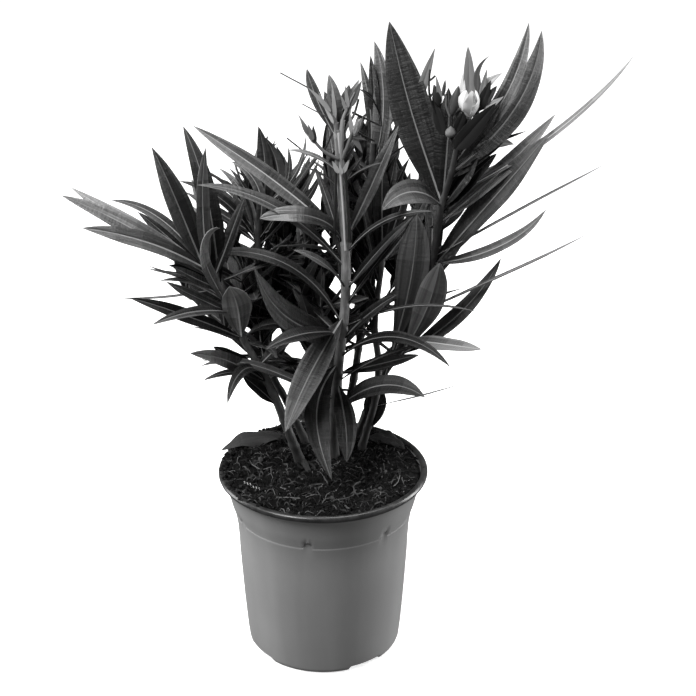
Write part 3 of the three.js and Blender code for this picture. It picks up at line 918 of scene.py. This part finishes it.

# %% [markdown]
# ## Leaves that show in front
# The leaves that make the plant's own outline have a row each: the height of the node, the heading,
# the rise, the length, the width, the droop, the sweep to one side, the roll about the midrib, and
# a tone from 0, the darkest, to 4. The tone is partly the leaf's own grey and partly painted light
# and shade. A few end with more, such as how late they bend.
# Most rows began as a separate fit to measured midlines, rounded, and some of those were then
# changed. The rest were given one by one.

# %% Front leaves
# Where a row gives one half of the blade its own step, that half is painted lighter or darker:
# painted light on the fold.
FRONT = {
    "left": [
        (330, 195, 40, 130, 16, 12, 0, -50, 3), (338, 170, 28, 116, 13, -4, 0, -45, 4),
        (338, 210, 36, 107, 15, 20, 1, -55, 3), (340, 160, 55, 90, 9, 57, 2, -35, 2),
        (330, 150, 34, 78, 12, 7, -1, -30, 0),
        (340, 204, 72, 103, 21, 4, 0, -70, 2, {"taper": 1.1}),
        (320, 120, 85, 130, 17, 48, 0, -10, 0), (332, 180, 84, 100, 12, -16, 0, -60, 3),
        (303, 215, 62, 80, 13, -135, 0, -50, 2, {"bend": 4.0, "twist": -25, "tip": 5}),
        (319, 200, 48, 46, 9, 35, 0, -40, 0), (328, 205, 17, 54, 3.6, -4, 1, -30, 3),
        (318, 200, 26, 62, 3.4, -2, 0, -30, 3), (307, 200, 51, 60, 5, 59, -2, -50, 3),
        (320, 195, -8, 80, 3.0, -20, 0, -20, 3), (298, 225, 33, 76, 10, -5, 1, -60, 1),
        (319, 235, 33, 64, 10, -2, 2, -60, 0), (305, 125, 0, 62, 14, 5, 0, -20, 0),
        (277, 215, 34, 108, 12, 8, 1, -60, 1), (299, 240, 26, 86, 9, 34, -20, -40, 2),
        (279, 268, 70, 62, 24, 24, -14, 20, 4), (238, 225, 42, 88, 13, 22, 1, -70, 1, {"tip": 4}),
        (243, 200, 40, 48, 13, 4, 0, -40, 0), (217, 200, 50, 38, 12, 5, 0, -50, 0),
        (240, 225, 34, 65, 6, 41, 0, -40, 2), (238, 240, 57, 78, 10, 116, 14, -30, 0),
        (330, 40, 62, 65, 11, 0, 0, 30, 0),
    ],
    "middle": [
        (271, 225, 21, 127, 27, -51, 3, -60, 0), (274, 235, 23, 110, 14, 21, 9, -30, 0),
        (264, 190, 40, 94, 16, 104, -40, -10, 0), (286, 236, -31, 104, 24, 14, 6, -12, 2),
        (244, 232, -24, 104, 21, 26, 76, -6, 0), (226, 288, -36, 66, 18, 10, -20, 0, 0),
        (356, 170, 40, 140, 16, 10, 0, -38, 3, {"halves": -3}),
        (333, 192, 53, 137, 15, 44, 10, -30, 2),
        (352, 200, 88, 76, 14, 98, 0, -30, 1, {"bend": 0.5, "twist": -40, "tip": 8, "taper": 0.6}),
        (315, 245, 47, 81, 11, 22, -20, -45, 2), (284, 180, 63, 136, 12, 84, 10, -30, 1),
        (352, 160, 51, 38, 6, 76, 0, -20, 4), (346, 150, 71, 68, 8, 5, 0, -20, 2),
        (345, 335, 51, 81, 7, 46, 3, 40, 1), (356, 30, 61, 92, 12, -2, -4, 40, 2),
        (314, 320, 52, 95, 13, 7, -2, 50, 0), (301, 330, 57, 85, 9, 5, 0, 45, 1),
        (254, 320, 44, 119, 11, 75, -3, 35, 0), (280, 325, 35, 122, 3.6, 43, 13, 30, 1),
        (231, 330, 41, 88, 6, 18, -5, 30, 0), (236, 20, 5, 68, 15, 0, 0, 20, 0),
        (270, 325, 51, 68, 10, 15, 2, 60, 0), (205, 330, 47, 100, 20, 56, -20, 40, 1),
        (214, 206, 34, 126, 9, 50, 0, -45, 2, {"bend": 4.0}), (437, 110, 84, 46, 11, 42, 0, -20, 2),
        (436, 150, 53, 54, 9, -23, 0, -35, 2, {"widest": 0.6}),
        (409, 180, 44, 42, 4.5, 47, 1, -35, 3), (396, 200, 50, 36, 3.0, 40, 0, -25, 1),
        (400, 340, 45, 36, 3.5, 30, 0, 30, 1),
    ],
    "right": [
        (378, 125, 57, 143, 33, -17, 12, -32, 1), (404, 30, 28, 130, 23, -62, -18, 36, 2),
        (413, 12, 45, 117, 15, -41, 1, 50, 3), (412, 5, 54, 54, 20, 0, 0, 30, 0),
        (398, 20, 38, 56, 14, 10, 0, 40, 1), (360, 10, 38, 120, 15, -14, -7, 42, 3),
        (318, 350, 53, 143, 24, 0, 2, 50, 2), (381, 15, 22.3, 180, 7, -34, -17, 30, 4),
        (330, 345, 34, 157, 3.6, 0, -3, 30, 2), (322, 352, 10.3, 105, 11, -49, -13, 45, 3),
        (272, 340, 30.7, 167, 4, -3, 2, 30, 3), (235, 345, 34.5, 124, 15, -34, -1, 60, 2),
        (250, 300, 16, 112, 15, -1, 1, 30, 4), (376, 60, 82, 90, 22, -12, 0, 0, 0),
        (206, 258, -44, 36, 20, 10, 0, 0, 0, {"taper": 0.9}), (374, 350, 56, 48, 13, -5, 0, 50, 0),
        (370, 0, 53, 61, 14, 9, 0, 50, 0),
        (214, 300, 66.5, 157, 27, -23, 24, -46, 2, {"halves": 0, "widest": 0.72}),
        (228, 310, 54, 113, 24, -24, 3, -54, 2, {"halves": 2, "widest": 0.68}),
        (376, 225, 43, 72, 21, 77, 1, -48, 2),
    ],
    "back_middle": [
        (405, 120, 90, 68, 8, 36, 0, -30, 2), (400, 60, 83, 80, 11, -26, 0, 0, 1),
        (394, 30, 75, 76, 17, -22, 0, 20, 1), (388, 0, 76, 103, 18, -33, -2, 65, 3, {"halves": 0}),
        (392, 215, 125, 70, 11, 100, -20, -30, 0), (360, 70, 70, 105, 18, 0, 0, 0, 0),
        (329, 20, 65, 70, 13, -18, 1, 40, 0),
    ],
    "back_right": [
        (197, 340, 22, 82, 1.8, -4, 0, 30, 4), (317, 45, 64, 73, 12, -4, 0, 41, 0),
        (316, 20, 46, 68, 15, -23, 0, 40, 1), (314, 90, 76, 84, 16, 10, 0, 20, 0),
        (300, 160, 78, 80, 14, 0, 0, 0, 0), (315, 90, 57, 92, 9, 13, -47, 20, 0),
    ],
    "back_left": [
        (334, 60, 70, 94, 15, -44, 3, 30, 2), (330, 40, 52, 94, 16, -78, -4, 40, 2),
        (326, 20, 64, 90, 8, 22, 0, 30, 0), (340, 165, 45, 62, 12, 10, 0, -35, 1),
        (336, 175, 32, 66, 9, 0, 0, -30, 2), (330, 170, 38, 58, 8, 0, 0, -30, 1),
        (330, 165, 90, 70, 8, 60, 1, -60, 3), (334, 160, 91, 62, 6, 51, 1, -55, 1),
        (339, 165, 114, 69, 9, 99, 2, -60, 3), (332, 175, 62, 80, 9, 54, 1, -40, 0),
        (334, 330, 56, 97, 10, 2, 0, 40, 0), (329, 350, 47, 89, 9, -22, 0, 40, 0),
        (336, 10, 26, 76, 8, -47, 1, 40, 0), (346, 20, 41, 69, 7, -64, 0, 40, 1),
        (348, 0, 44, 61, 5, -61, -1, 40, 1), (343, 40, 49, 71, 7, 8, 1, 30, 2),
        (359, 0, 34, 72, 6, -57, 0, 40, 2),
    ],
}
BROAD_FROM = 24
COVER_STEPS = 16
COVER_SHARE = 0.36

cover = []
for cane, rows in FRONT.items():
    for row in rows:
        more = row[-1] if isinstance(row[-1], dict) else {}
        height, heading, rise, length, width, droop, sweep, roll, tone = row[:9]
        start = leaf_start(cane, height, heading)
        kind = "broad" if width >= BROAD_FROM else "front"
        grow_leaf(cane, kind, tone, start, heading, rise, length, width, droop, sweep, roll, **more)
        bend = more.get("bend", LEAF_BEND)
        spine = spine_of(start, heading, rise, length, droop, sweep, COVER_STEPS, bend)[0]
        cover += [(*place, COVER_SHARE * width) for place in spine[1:-1]]
print("front leaves:", sum(len(rows) for rows in FRONT.values()))

# %% [markdown]
# ## Leaves grown by rule
# The rest of the crown grows by the oleander's own rule: leaves stand in whorls of three, each
# whorl turned by half a gap from the one below, level near the foot and steeper towards the tip.
# Side shoots carry smaller whorls. The dice are seeded, so the plant is the same each time. From
# in front the crown is open in places: a grown leaf is dropped if it would close one of those
# openings, leave the crown's outline, or pass in front of a leaf that has a row. The openings
# and the outline are measured lists, in millimetres on the upright plane through the target.

# %% Openings and outline
OPENINGS = [  # across, up and radius
    (1, 174, 3), (-27, 156, 3), (-41, 149, 3), (46, 145, 4), (-28, 131, 3), (50, 134, 3),
    (-23, 117, 5), (-124, 119, 2), (-94, 118, 2), (42, 107, 4), (-97, 102, 4), (-31, 101, 3),
    (-78, 87, 5), (-19, 86, 5), (75, 86, 2), (28, 59, 5), (-12, 49, 5), (27, 45, 4), (3, 46, 3),
    (87, 37, 3), (72, 24, 4), (30, 18, 9), (-54, 13, 3), (17, -2, 5), (-39, -3, 4), (-48, -2, 2),
    (0, -13, 5), (17, -19, 6), (0, -26, 4), (-53, -29, 6), (39, -39, 4), (9, -46, 4), (-4, -56, 3),
    (11, 192, 5), (-105, 149, 8), (-84, 166, 9), (80, 226, 9), (-81, 156, 8), (-131, 141, 9),
    (-45, 162, 8), (86, 57, 9), (104, 66, 8), (-26, 176, 5), (-19, 186, 3),
]
OUTLINE = np.array([
    (-181, 107), (-148, 144), (-128, 167), (-112, 144), (-93, 144), (-70, 173), (-57, 167),
    (-46, 156), (-28, 205), (-14, 205), (9, 215), (21, 228), (35, 250), (61, 207), (90, 220),
    (135, 235), (148, 225), (119, 171), (155, 179), (150, 163), (96, 85), (116, 68), (72, 18),
    (41, -9), (52, -37), (33, -66), (-46, -60), (-64, -36), (-88, -18), (-118, -10), (-130, 30),
    (-140, 77),
])
BOX_LOW, BOX_HIGH = (np.array(corner) / MM for corner in cad_box)
BOX_MARGIN = 3


def depth_of(points):
    return -((np.atleast_2d(points) - EYE) @ BACK)


def inside_outline(points):
    """Whether each point is inside the outline, by counting the edges to its right."""
    first, second = OUTLINE, np.roll(OUTLINE, -1, axis=0)
    x, y = points[:, :1], points[:, 1:]
    crosses = (first[:, 1] > y) != (second[:, 1] > y)
    rise = np.where(second[:, 1] == first[:, 1], 1, second[:, 1] - first[:, 1])
    at = first[:, 0] + (y - first[:, 1]) * (second[:, 0] - first[:, 0]) / rise
    return (crosses & (x < at)).sum(axis=1) % 2 == 1


for cane in FRONT_CANES:
    for height in np.arange(SOIL, curves[cane][-1, 2], 5.0):
        cover.append((*cane_at(cane, height), cane_radius(cane, height)))
cover = np.array(cover)
cover_seen, cover_depth, cover_reach = seen(cover[:, :3]), depth_of(cover[:, :3]), cover[:, 3]


def room_for(start, heading, rise, length, width, droop, sweep=0):
    """Whether a grown leaf keeps out of the openings, in the outline, in the box and behind."""
    spine = spine_of(start, heading, rise, length, droop, sweep, 12)[0]
    if (spine < BOX_LOW + BOX_MARGIN).any() or (spine > BOX_HIGH - BOX_MARGIN).any():
        return False
    flat = seen(spine)
    if not inside_outline(flat[2:]).all():
        return False
    for x, y, radius in OPENINGS:
        if np.hypot(flat[:, 0] - x, flat[:, 1] - y).min() < radius + 0.2 * width:
            return False
    flat, far = flat[2:], depth_of(spine[2:])
    apart = np.hypot(flat[:, :1] - cover_seen[:, 0], flat[:, 1:] - cover_seen[:, 1])
    hides = (apart < cover_reach + 0.3 * width) & (far[:, None] < cover_depth + 1.5)
    return not hides.any()


print("openings:", len(OPENINGS), "outline corners:", len(OUTLINE), "cover points:", len(cover))

# %% Whorls on the canes
TONE_DICE = (0, 0, 0, 0, 1, 1, 1, 2)
TRIES = 12
grown = {name: 0 for name in CANES}
rule_dice = random.Random(12)


def grow_whorls(cane, starts, first_turn, lengths, widths, steep):
    """Three leaves at each start, each whorl turned by half a gap from the one before."""
    for index, start in enumerate(starts):
        share = index / max(1, len(starts) - 1)
        for k in range(3):
            heading = (first_turn + 60 * index + 120 * k + rule_dice.uniform(-18, 18)) % 360
            rise = steep[0] + (steep[1] - steep[0]) * share + rule_dice.uniform(-12, 12)
            length = rule_dice.uniform(*lengths) * (1 - 0.12 * share)
            width, droop = rule_dice.uniform(*widths), rule_dice.uniform(0, 26)
            tone, roll = rule_dice.choice(TONE_DICE), rule_dice.uniform(-28, 28)
            for _ in range(TRIES):
                if room_for(start, heading, rise, length, width, droop):
                    shape = (heading, rise, length, width, droop, 0, roll)
                    grow_leaf(cane, "grown", tone, start, *shape)
                    grown[cane] += 1
                    break
                heading += rule_dice.uniform(-24, 24)
                rise += rule_dice.uniform(-6, 12)
                length *= 0.95


def whorl_starts(cane, bottom, gap):
    return [cane_at(cane, height) for height in np.arange(bottom, curves[cane][-1, 2] - 4, gap)]


for cane in FRONT_CANES:
    grow_whorls(cane, whorl_starts(cane, 196, 18), 30, (80, 112), (12, 18), (8, 62))
for cane in BACK_CANES:
    grow_whorls(cane, whorl_starts(cane, 186, 12), 70, (80, 114), (12, 19), (6, 74))
print("grown leaves:", grown)

# %% Side shoots
SHOOTS_ON = {
    "back_middle": 16, "back_right": 12, "back_left": 17, "low_back": 13,
    "left": 8, "middle": 9, "right": 11,
}
SHOOT_STEPS = 10
SHOOT_WHORLS = [3, 5, 7, 9, 10]
SHOOT_DROOP = -14
SHOOTS_FROM = 196
shoot_rod = rod_template(6, SHOOT_STEPS)
shoots = Batch()
for cane, count in SHOOTS_ON.items():
    bottom, top = SHOOTS_FROM, curves[cane][-1, 2] - 12
    for index in range(count):
        height = bottom + (top - bottom) * (index + rule_dice.random() * 0.6) / count
        heading = rule_dice.uniform(*((20, 160) if cane in FRONT_CANES else (-30, 210)))
        rise, length = rule_dice.uniform(38, 68), rule_dice.uniform(50, 96)
        sweep = rule_dice.uniform(-20, 20)
        start = cane_at(cane, height)
        if not room_for(start, heading, rise, length, 2, SHOOT_DROOP, sweep):
            continue
        spine = spine_of(start, heading, rise, length, SHOOT_DROOP, sweep, SHOOT_STEPS)[0]
        shoots.add(shoot_rod, swept(shoot_rod, spine, np.linspace(1.5, 0.8, SHOOT_STEPS + 1)), 0)
        grow_whorls(cane, spine[SHOOT_WHORLS], heading, (46, 88), (8, 14), (16, 72))
print("shoots:", len(shoots.places), "grown leaves:", grown)
hand_over("side_shoots", shoots.mesh("side_shoots", sharp=70), [BARK["back"]])

# %% [markdown]
# ## Blossom and buds
# The right-hand cane ends in a flower head: one bud that is just opening, white and twisted like
# a rolled umbrella, pale petals beside it, dark pointed buds on short stalks and tall bracts.
# The middle cane ends in a pale spray of bracts and stalks with small buds. Stalks, buds and
# bracts are all given by where they start and where they end.

# %% Stalks, buds and bracts
STALK_STEPS = 8
BUD_STEPS = 16
stalk_rod = rod_template(8, STALK_STEPS)
bud_rod = rod_template(12, BUD_STEPS)
stalks, buds, petals = Batch(), Batch(), Batch()
BLOOM_GREYS = (0.02, 0.06, 0.14, 0.28, 0.5, 0.78)
BLOOM = [plain(f"bloom_{i}", g, 0.5, Specular_IOR_Level=0.3) for i, g in enumerate(BLOOM_GREYS)]


def grow_stalk(*places, thick, tone):
    """A round stalk through two or more places."""
    spine = smooth_route(places, STALK_STEPS + 1)
    radii = thick * np.linspace(1, 0.75, STALK_STEPS + 1)
    stalks.add(stalk_rod, swept(stalk_rod, spine, radii), tone)


def grow_bud(start, end, thick, tone, folds=0.06, turns=0.5):
    """A pointed bud with its petals rolled round it, from its calyx to its tip."""
    start, end = np.array(start, float), np.array(end, float)
    share = np.linspace(0, 1, BUD_STEPS + 1)
    body = np.sin(math.pi * share**0.8) ** 0.8
    spine = start + (end - start) * share[:, None]
    places = swept(bud_rod, spine, thick * np.maximum(body, 0.06))
    ring = np.rint(bud_rod.corners[:, 2] * BUD_STEPS).astype(int)
    turn = np.arctan2(bud_rod.corners[:, 1], bud_rod.corners[:, 0])
    rolled = 1 - folds + 2 * folds * np.abs(np.sin(2.5 * turn + 4 * turns * share[ring]))
    buds.add(bud_rod, spine[ring] + (places - spine[ring]) * rolled[:, None], tone)


def grow_bract(start, end, width, tone, droop=0, turned=0, **more):
    """A small blade between two places; its upper face looks to the front, then is turned."""
    start, end = np.array(start, float), np.array(end, float)
    away = end - start
    length = float(np.linalg.norm(away))
    heading = math.degrees(math.atan2(away[1], away[0]))
    rise = math.degrees(math.asin(away[2] / length))
    turn, tilt = math.radians(heading), math.radians(rise)
    out = math.cos(tilt)
    level = np.array([-math.sin(turn), math.cos(turn), 0])
    along = np.array([out * math.cos(turn), out * math.sin(turn), math.sin(tilt)])
    upright = np.cross(along, level)
    roll = math.degrees(math.atan2(-level @ BACK, upright @ BACK)) + turned
    more.setdefault("phase", leaf_dice.random())
    more.setdefault("widest", 0.3)
    more.setdefault("taper", 1.05)
    length *= 1 + (droop / 260) ** 2
    shape = (heading, rise + 0.43 * droop, length, width, droop, 0, roll)
    places, _ = blade_places("bract", start, *shape, **more)
    petals.add(BLADES["bract"], places, tone)


def grow_rolled_flower(base, length, width, headings):
    """White petals rolled round each other: each bulges out and comes back to the tip."""
    for index, heading in enumerate(headings):
        places, _ = blade_places(
            "bract", np.array(base, float), heading, 38, length, width, -96, 0, 0,
            fold=28, curl=-0.15, twist=34, wave=0.1, phase=0.2 * index, widest=0.46, taper=0.8,
        )
        # every other petal is one tone darker: painted shade that marks the seams between the
        # rolled petals
        petals.add(BLADES["bract"], places, 5 if index % 2 else 4)


# %% Flower head and bud spray
FORK = (102, 14, 421)
STALKS = [
    # thickness, tone, and the places that a stalk runs through
    # the flower head on the right cane
    (1.9, 0, FORK, (106, 13, 434), (109, 12, 449)), (1.2, 1, FORK, (97, 13, 436), (96, 12, 449)),
    (1.0, 2, (96, 12, 448), (93, 12, 456), (93, 12, 461), (90, 12, 467)),
    (1.1, 0, FORK, (93, 14, 440), (88.5, 13, 456)), (1.1, 0, FORK, (99, 11, 427), (96.4, 10, 434)),
    (1.2, 0, FORK, (112, 15, 440), (118, 14, 457)),
    (0.9, 0, FORK, (116, 18, 446), (122.5, 14, 462)),
    (1.0, 0, (85, 13, 450), (81, 12, 462), (80, 12, 471), (80.5, 12, 483)),
    (0.9, 0, (80.5, 12, 475), (82.5, 12, 476.5), (84.5, 12, 478.5)),
    (1.8, 1, (99, 12, 450), (103.4, 11, 454), (109.5, 10, 447)),
    (0.9, 1, (96, 20, 428), (112, 34, 426), (124, 42, 420), (134, 44, 418)),
    (0.8, 0, (112, 34, 426), (128, 46, 422), (142, 50, 426)),
    # the pale spray on the middle cane
    (2.6, 2, (15.0, 0.0, 398), (14.2, -2.4, 416), (13.8, -3, 424), (12.4, -3, 436),
     (11.5, -3, 447)),
    (2.4, 3, (15.4, 0.0, 398), (14.9, -2.6, 416), (14.8, -3.2, 426), (15.4, -3.2, 440),
     (16.4, -3, 449)),
    # a thin pale stalk hugging the front of the middle cane: a painted highlight down the cane
    (1.2, 4, (13.4, -4.6, 440), (14.3, -3.6, 414), (16.6, -1.4, 380), (18.2, 0.4, 346)),
    (1.9, 2, (12.0, -3, 436), (11.2, -3, 445), (7.7, -3, 454), (3.4, -3, 462)),
    (1.3, 3, (15.0, -3, 436), (15.6, -3, 447), (19.5, -3, 458), (25.0, -3, 470)),
    (1.1, 2, (15.4, -3, 432), (19.6, -1, 444), (24.5, 0, 452), (28, 0, 464)),
    (0.9, 0, (17, -1, 446), (24, 2, 441), (33, 6, 434), (40, 8, 430)),
    (1.4, 2, (15.8, -4, 420), (20.2, -5, 431), (23.1, -5, 440), (25.3, -5, 444)),
    (1.4, 2, (12.8, -5, 420), (3.2, -8, 426), (-4.1, -8, 434), (-7.0, -8, 438)),
    (1.4, 0, (9.8, -1, 352), (10.6, -3, 380), (11.2, -4, 414)),
    (1.4, 0, (22.0, 2, 352), (20.4, -2, 378), (18.0, -4, 412)),
    (0.5, 1, (4.8, -2, 451), (-2.6, -2, 455), (-13.5, -2, 461)),
    (0.9, 0, (23.2, 8, 452), (33.6, 8, 447), (45, 10, 441)), (0.8, 0, (8.5, 6, 437), (3.0, 6, 424)),
    (0.7, 0, (-10, 4, 420), (-14, 4, 424), (-25.2, 4, 433.4)),
    (0.55, 1, (-9.0, -4, 473.6), (-18, -4, 478.5), (-29, -4, 484.5)),
]
BUDS = [
    # start, end, thickness, tone, and more
    # the flower head on the right cane
    ((109.5, 12, 447), (112.5, 12, 467), 5.2, 4, {"folds": 0.05, "turns": 1.2}),
    ((97.6, 12, 448), (101.8, 12, 471), 3.7, 1), ((88.5, 13, 454), (83.6, 12, 472), 3.2, 0),
    ((90.5, 12, 463), (92.0, 12, 475.5), 1.4, 1),
    ((96.9, 10, 432), (96.7, 9, 441), 4.1, 2, {"folds": 0.05}),
    # the pale spray on the middle cane
    ((24.3, -5, 440), (29.5, -5, 451), 2.0, 3, {"folds": 0.08}),
    ((-7.0, -8, 437), (-14.5, -9, 451), 2.0, 2, {"folds": 0.08}),
]
BRACTS = [
    # start, end, width, tone, turn, and more
    # the flower head on the right cane
    ((100.0, 4, 425), (129.0, 1, 461), 15, 0, 25, {"taper": 0.9}),
    ((140, 50, 424), (153, 48, 436), 6, 4, 20),
    ((110.5, 13, 460), (108.0, 13, 500), 9.5, 3, 10, {"taper": 0.8}),
    ((105.5, 12, 450), (104.6, 12, 480), 6.5, 5, -20, {"taper": 0.8}),
    ((91, 13, 434), (82.5, 13, 463), 7.5, 0, 0), ((101, 9, 438), (107, 8, 454), 8, 0, 20),
    ((115.0, 14, 462), (116.5, 14, 483), 6.5, 1, -20),
    ((116.5, 13, 466), (124, 13, 493), 4.6, 2, 20, {"droop": 75, "taper": 1.2}),
    ((118.4, 12, 463), (122.6, 12, 484), 4.2, 3, 10),
    ((116.8, 12, 452), (125.6, 12, 475), 8.0, 0, 10, {"taper": 0.8}),
    ((120.5, 13, 456), (130.2, 12, 471), 6.5, 0, -10, {"taper": 0.8}),
    ((117.5, 14, 467), (134.0, 14, 480), 7, 5, 20, {"droop": 20}),
    ((119.5, 12, 454), (135.5, 12, 463), 5.5, 4, 20, {"droop": -20}),
    ((112.0, 15, 462), (125.0, 15, 476), 6.0, 5, 0), ((89.1, 11, 458), (84.9, 11, 479), 4.2, 3, 20),
    ((104.0, 12, 446), (98.0, 12, 460), 4.5, 1, -30),
    ((73.5, 58, 447), (86.6, 58, 489), 8.0, 3, 15),
    ((130, 40, 418), (148, 40, 418), 8.0, 4, 0, {"droop": 40}),
    ((134, 42, 420), (158, 40, 429), 2.6, 0, 0),
    # the pale spray on the middle cane
    ((13.0, -4.5, 409), (8.4, -6, 419), 3.6, 4, 10),
    ((16.5, -4.5, 409), (21.2, -6, 420), 3.6, 3, -10),
    ((15.0, -5.0, 408), (15.2, -6.5, 414), 3.0, 4, 0),
    ((10.7, -3, 450), (8.6, -3, 476), 3.4, 4, 30), ((9.6, -2, 449), (5.4, -2, 470), 3.0, 2, -10),
    ((9.0, -4, 449), (-1.9, -4, 471), 3.0, 3, -20), ((9.6, -5, 447), (2.0, -5, 462), 2.6, 4, 10),
    ((7.5, -5, 456), (-9.5, -4, 474), 3.6, 3, 0, {"droop": 10}),
    ((8.0, -1, 448), (3.0, -1, 466), 4.0, 2, 30), ((21.0, -3, 459), (30.2, -3, 478.5), 6.4, 2, 15),
    ((20.6, -4, 459), (17.8, -4, 476), 3.0, 3, -15), ((19.2, -5, 456), (14.6, -5, 469), 2.6, 3, 20),
    ((18.5, -2, 452), (25.5, -2, 468), 4.6, 2, -30), ((24.4, -6, 438), (31.4, -6, 453), 3.2, 3, 20),
    ((23.4, -5, 438), (21.4, -5, 456), 4.0, 3, -20), ((24.6, -7, 440), (27.8, -7, 452), 3.2, 4, 30),
    ((23.1, -5, 437), (34.5, -5, 434), 2.6, 1, 0, {"droop": 20}),
    ((24.0, -4, 436), (31.0, -4, 424), 4.0, 2, 0, {"droop": 10}),
    ((-4.6, -9, 433), (-16.5, -9, 455.5), 4.0, 3, 20),
    ((-5.6, -10, 436), (-9.0, -10, 448), 4.0, 2, -20),
    ((-4.4, -9, 433), (-5.4, -9, 447), 4.2, 1, 10),
]
for thick, tone, *places in STALKS:
    grow_stalk(*places, thick=thick, tone=tone)
for start, end, thick, tone, *more in BUDS:
    grow_bud(start, end, thick, tone, **dict(*more))
grow_rolled_flower((110.2, 11, 447), 25, 13, (175, 230, 285, 340, 60))
for start, end, width, tone, turned, *more in BRACTS:
    grow_bract(start, end, width, tone, turned=turned, **dict(*more))
hand_over("flower_stalks", stalks.mesh("flower_stalks", sharp=70), BLOOM)
hand_over("buds", buds.mesh("buds", sharp=60), BLOOM, ["flower_head"])
petal_mesh = petals.mesh("petals_and_bracts")
hand_over("petals_and_bracts", petal_mesh, BLOOM, ["bud_spray_middle"])

# %% Fallen leaves
FALLEN = [
    # start, heading, rise, length, width, droop, sweep, roll, tone
    ((-26, 50, 158.5), 199, 24, 66, 17, 56, 0, -16, 2),
    ((44, 58, 162.5), 310, 4, 37, 13, 22, 0, 10, 1),
    ((36, 50, 161), 330, 12, 30, 10, 30, 0, 20, 1),
]
fallen = Batch()
for start, *shape, tone in FALLEN:
    places, blade_map = blade_places(
        "front", np.array(start, float), *shape, fold=8, curl=0.3, wave=0.2, phase=0.3
    )
    fallen.add(BLADES["front"], places, TONES + 2 * tone, blade_map)
hand_over("fallen_leaves", fallen.mesh("fallen_leaves"), LEAF_FINISHES)

# %% Hand over the leaves
MASSES = {
    "left": ("left_spread", "left_upright", "left_tall", "left_middle", "left_inner", "left_low"),
    "middle": ("front_left", "front_hanging", "front_low", "middle_left", "middle_inner",
               "middle_right", "middle_low"),
    "right": ("right_broad", "right_curved", "right_spread", "right_long", "right_fine",
              "right_low", "right_inner", "far_right", "far_right_low"),
    "back_middle": ("back_middle_top", "back_middle"),
    "back_right": ("low_front", "back_right"),
    "back_left": ("back_left_top", "back_left", "back_left_low"),
    "low_back": ("low_back", "low_back_under"),
}
for cane, batch in leaves.items():
    nodes = ["leaves_" + mass for mass in MASSES[cane]]
    hand_over(f"foliage_{cane}", batch.mesh(f"foliage_{cane}"), LEAF_FINISHES, nodes)

# %% [markdown]
# ## Studio
# A pale floor that rises into a pale wall, with no corner between them. It glows a little, so it
# stays white behind the plant, and it throws no light back on it. A large soft light stands in
# front, above and to the left, a second hangs almost overhead, and two tall soft lights at the
# sides put the pale edges on the pot.

# %% Floor
FLOOR_RADIUS = 3.2
WALL_RADIUS = 5.2
FLOOR_GLOW = 0.72
FLOOR_STEPS = 96
COVE = 2.0
floor_profile = [(0.0, 0.0), (0.6, 0.0), (FLOOR_RADIUS, 0.0)]
for bend in range(6, 91, 6):
    turn = math.radians(bend)
    floor_profile.append((FLOOR_RADIUS + COVE * math.sin(turn), COVE - COVE * math.cos(turn)))
floor_profile.append((WALL_RADIUS, 6.0))
work = spun([(radius / MM, height / MM) for radius, height in floor_profile], FLOOR_STEPS)
floor_mesh = mesh_of(work, "studio_floor")
floor_mesh.materials.append(
    plain("floor_paint", 0.9, 0.8, Emission_Color=neutral(1.0), Emission_Strength=FLOOR_GLOW)
)
floor = bpy.data.objects.new("studio_floor", floor_mesh)
bpy.context.scene.collection.objects.link(floor)
floor.visible_diffuse = False
floor.visible_glossy = False
floor.visible_shadow = False

# %% Lights and view


def soft_light(name, place, target, width, height, power):
    data = bpy.data.lights.new(name, "AREA")
    data.shape = "RECTANGLE"
    data.size, data.size_y, data.energy = width, height, power
    light = bpy.data.objects.new(name, data)
    bpy.context.scene.collection.objects.link(light)
    light.location = place
    light.rotation_euler = (Vector(target) - Vector(place)).to_track_quat("-Z", "Y").to_euler()


LIGHTS = [
    # name, place, target, width, height and power
    ("key_light", (-1.0, -1.0, 1.9), (0.0, 0.0, 0.3), 0.9, 0.9, 57),
    ("top_light", (0.4, 0.3, 2.2), (0.0, 0.0, 0.2), 1.3, 1.3, 34),
    ("left_light", (-1.5, 0.4, 0.4), (0.0, 0.0, 0.2), 0.6, 1.4, 24),
    ("right_light", (1.5, 0.4, 0.4), (0.0, 0.0, 0.2), 0.6, 1.4, 32),
]
for light in LIGHTS:
    soft_light(*light)

AIR_STRENGTH = 0.165
world = bpy.data.worlds.new("studio_air")
world.use_nodes = True
air = world.node_tree.nodes["Background"].inputs
air["Color"].default_value = neutral(1.0)
air["Strength"].default_value = AIR_STRENGTH
bpy.context.scene.world = world
bpy.context.scene.view_settings.view_transform = "Standard"
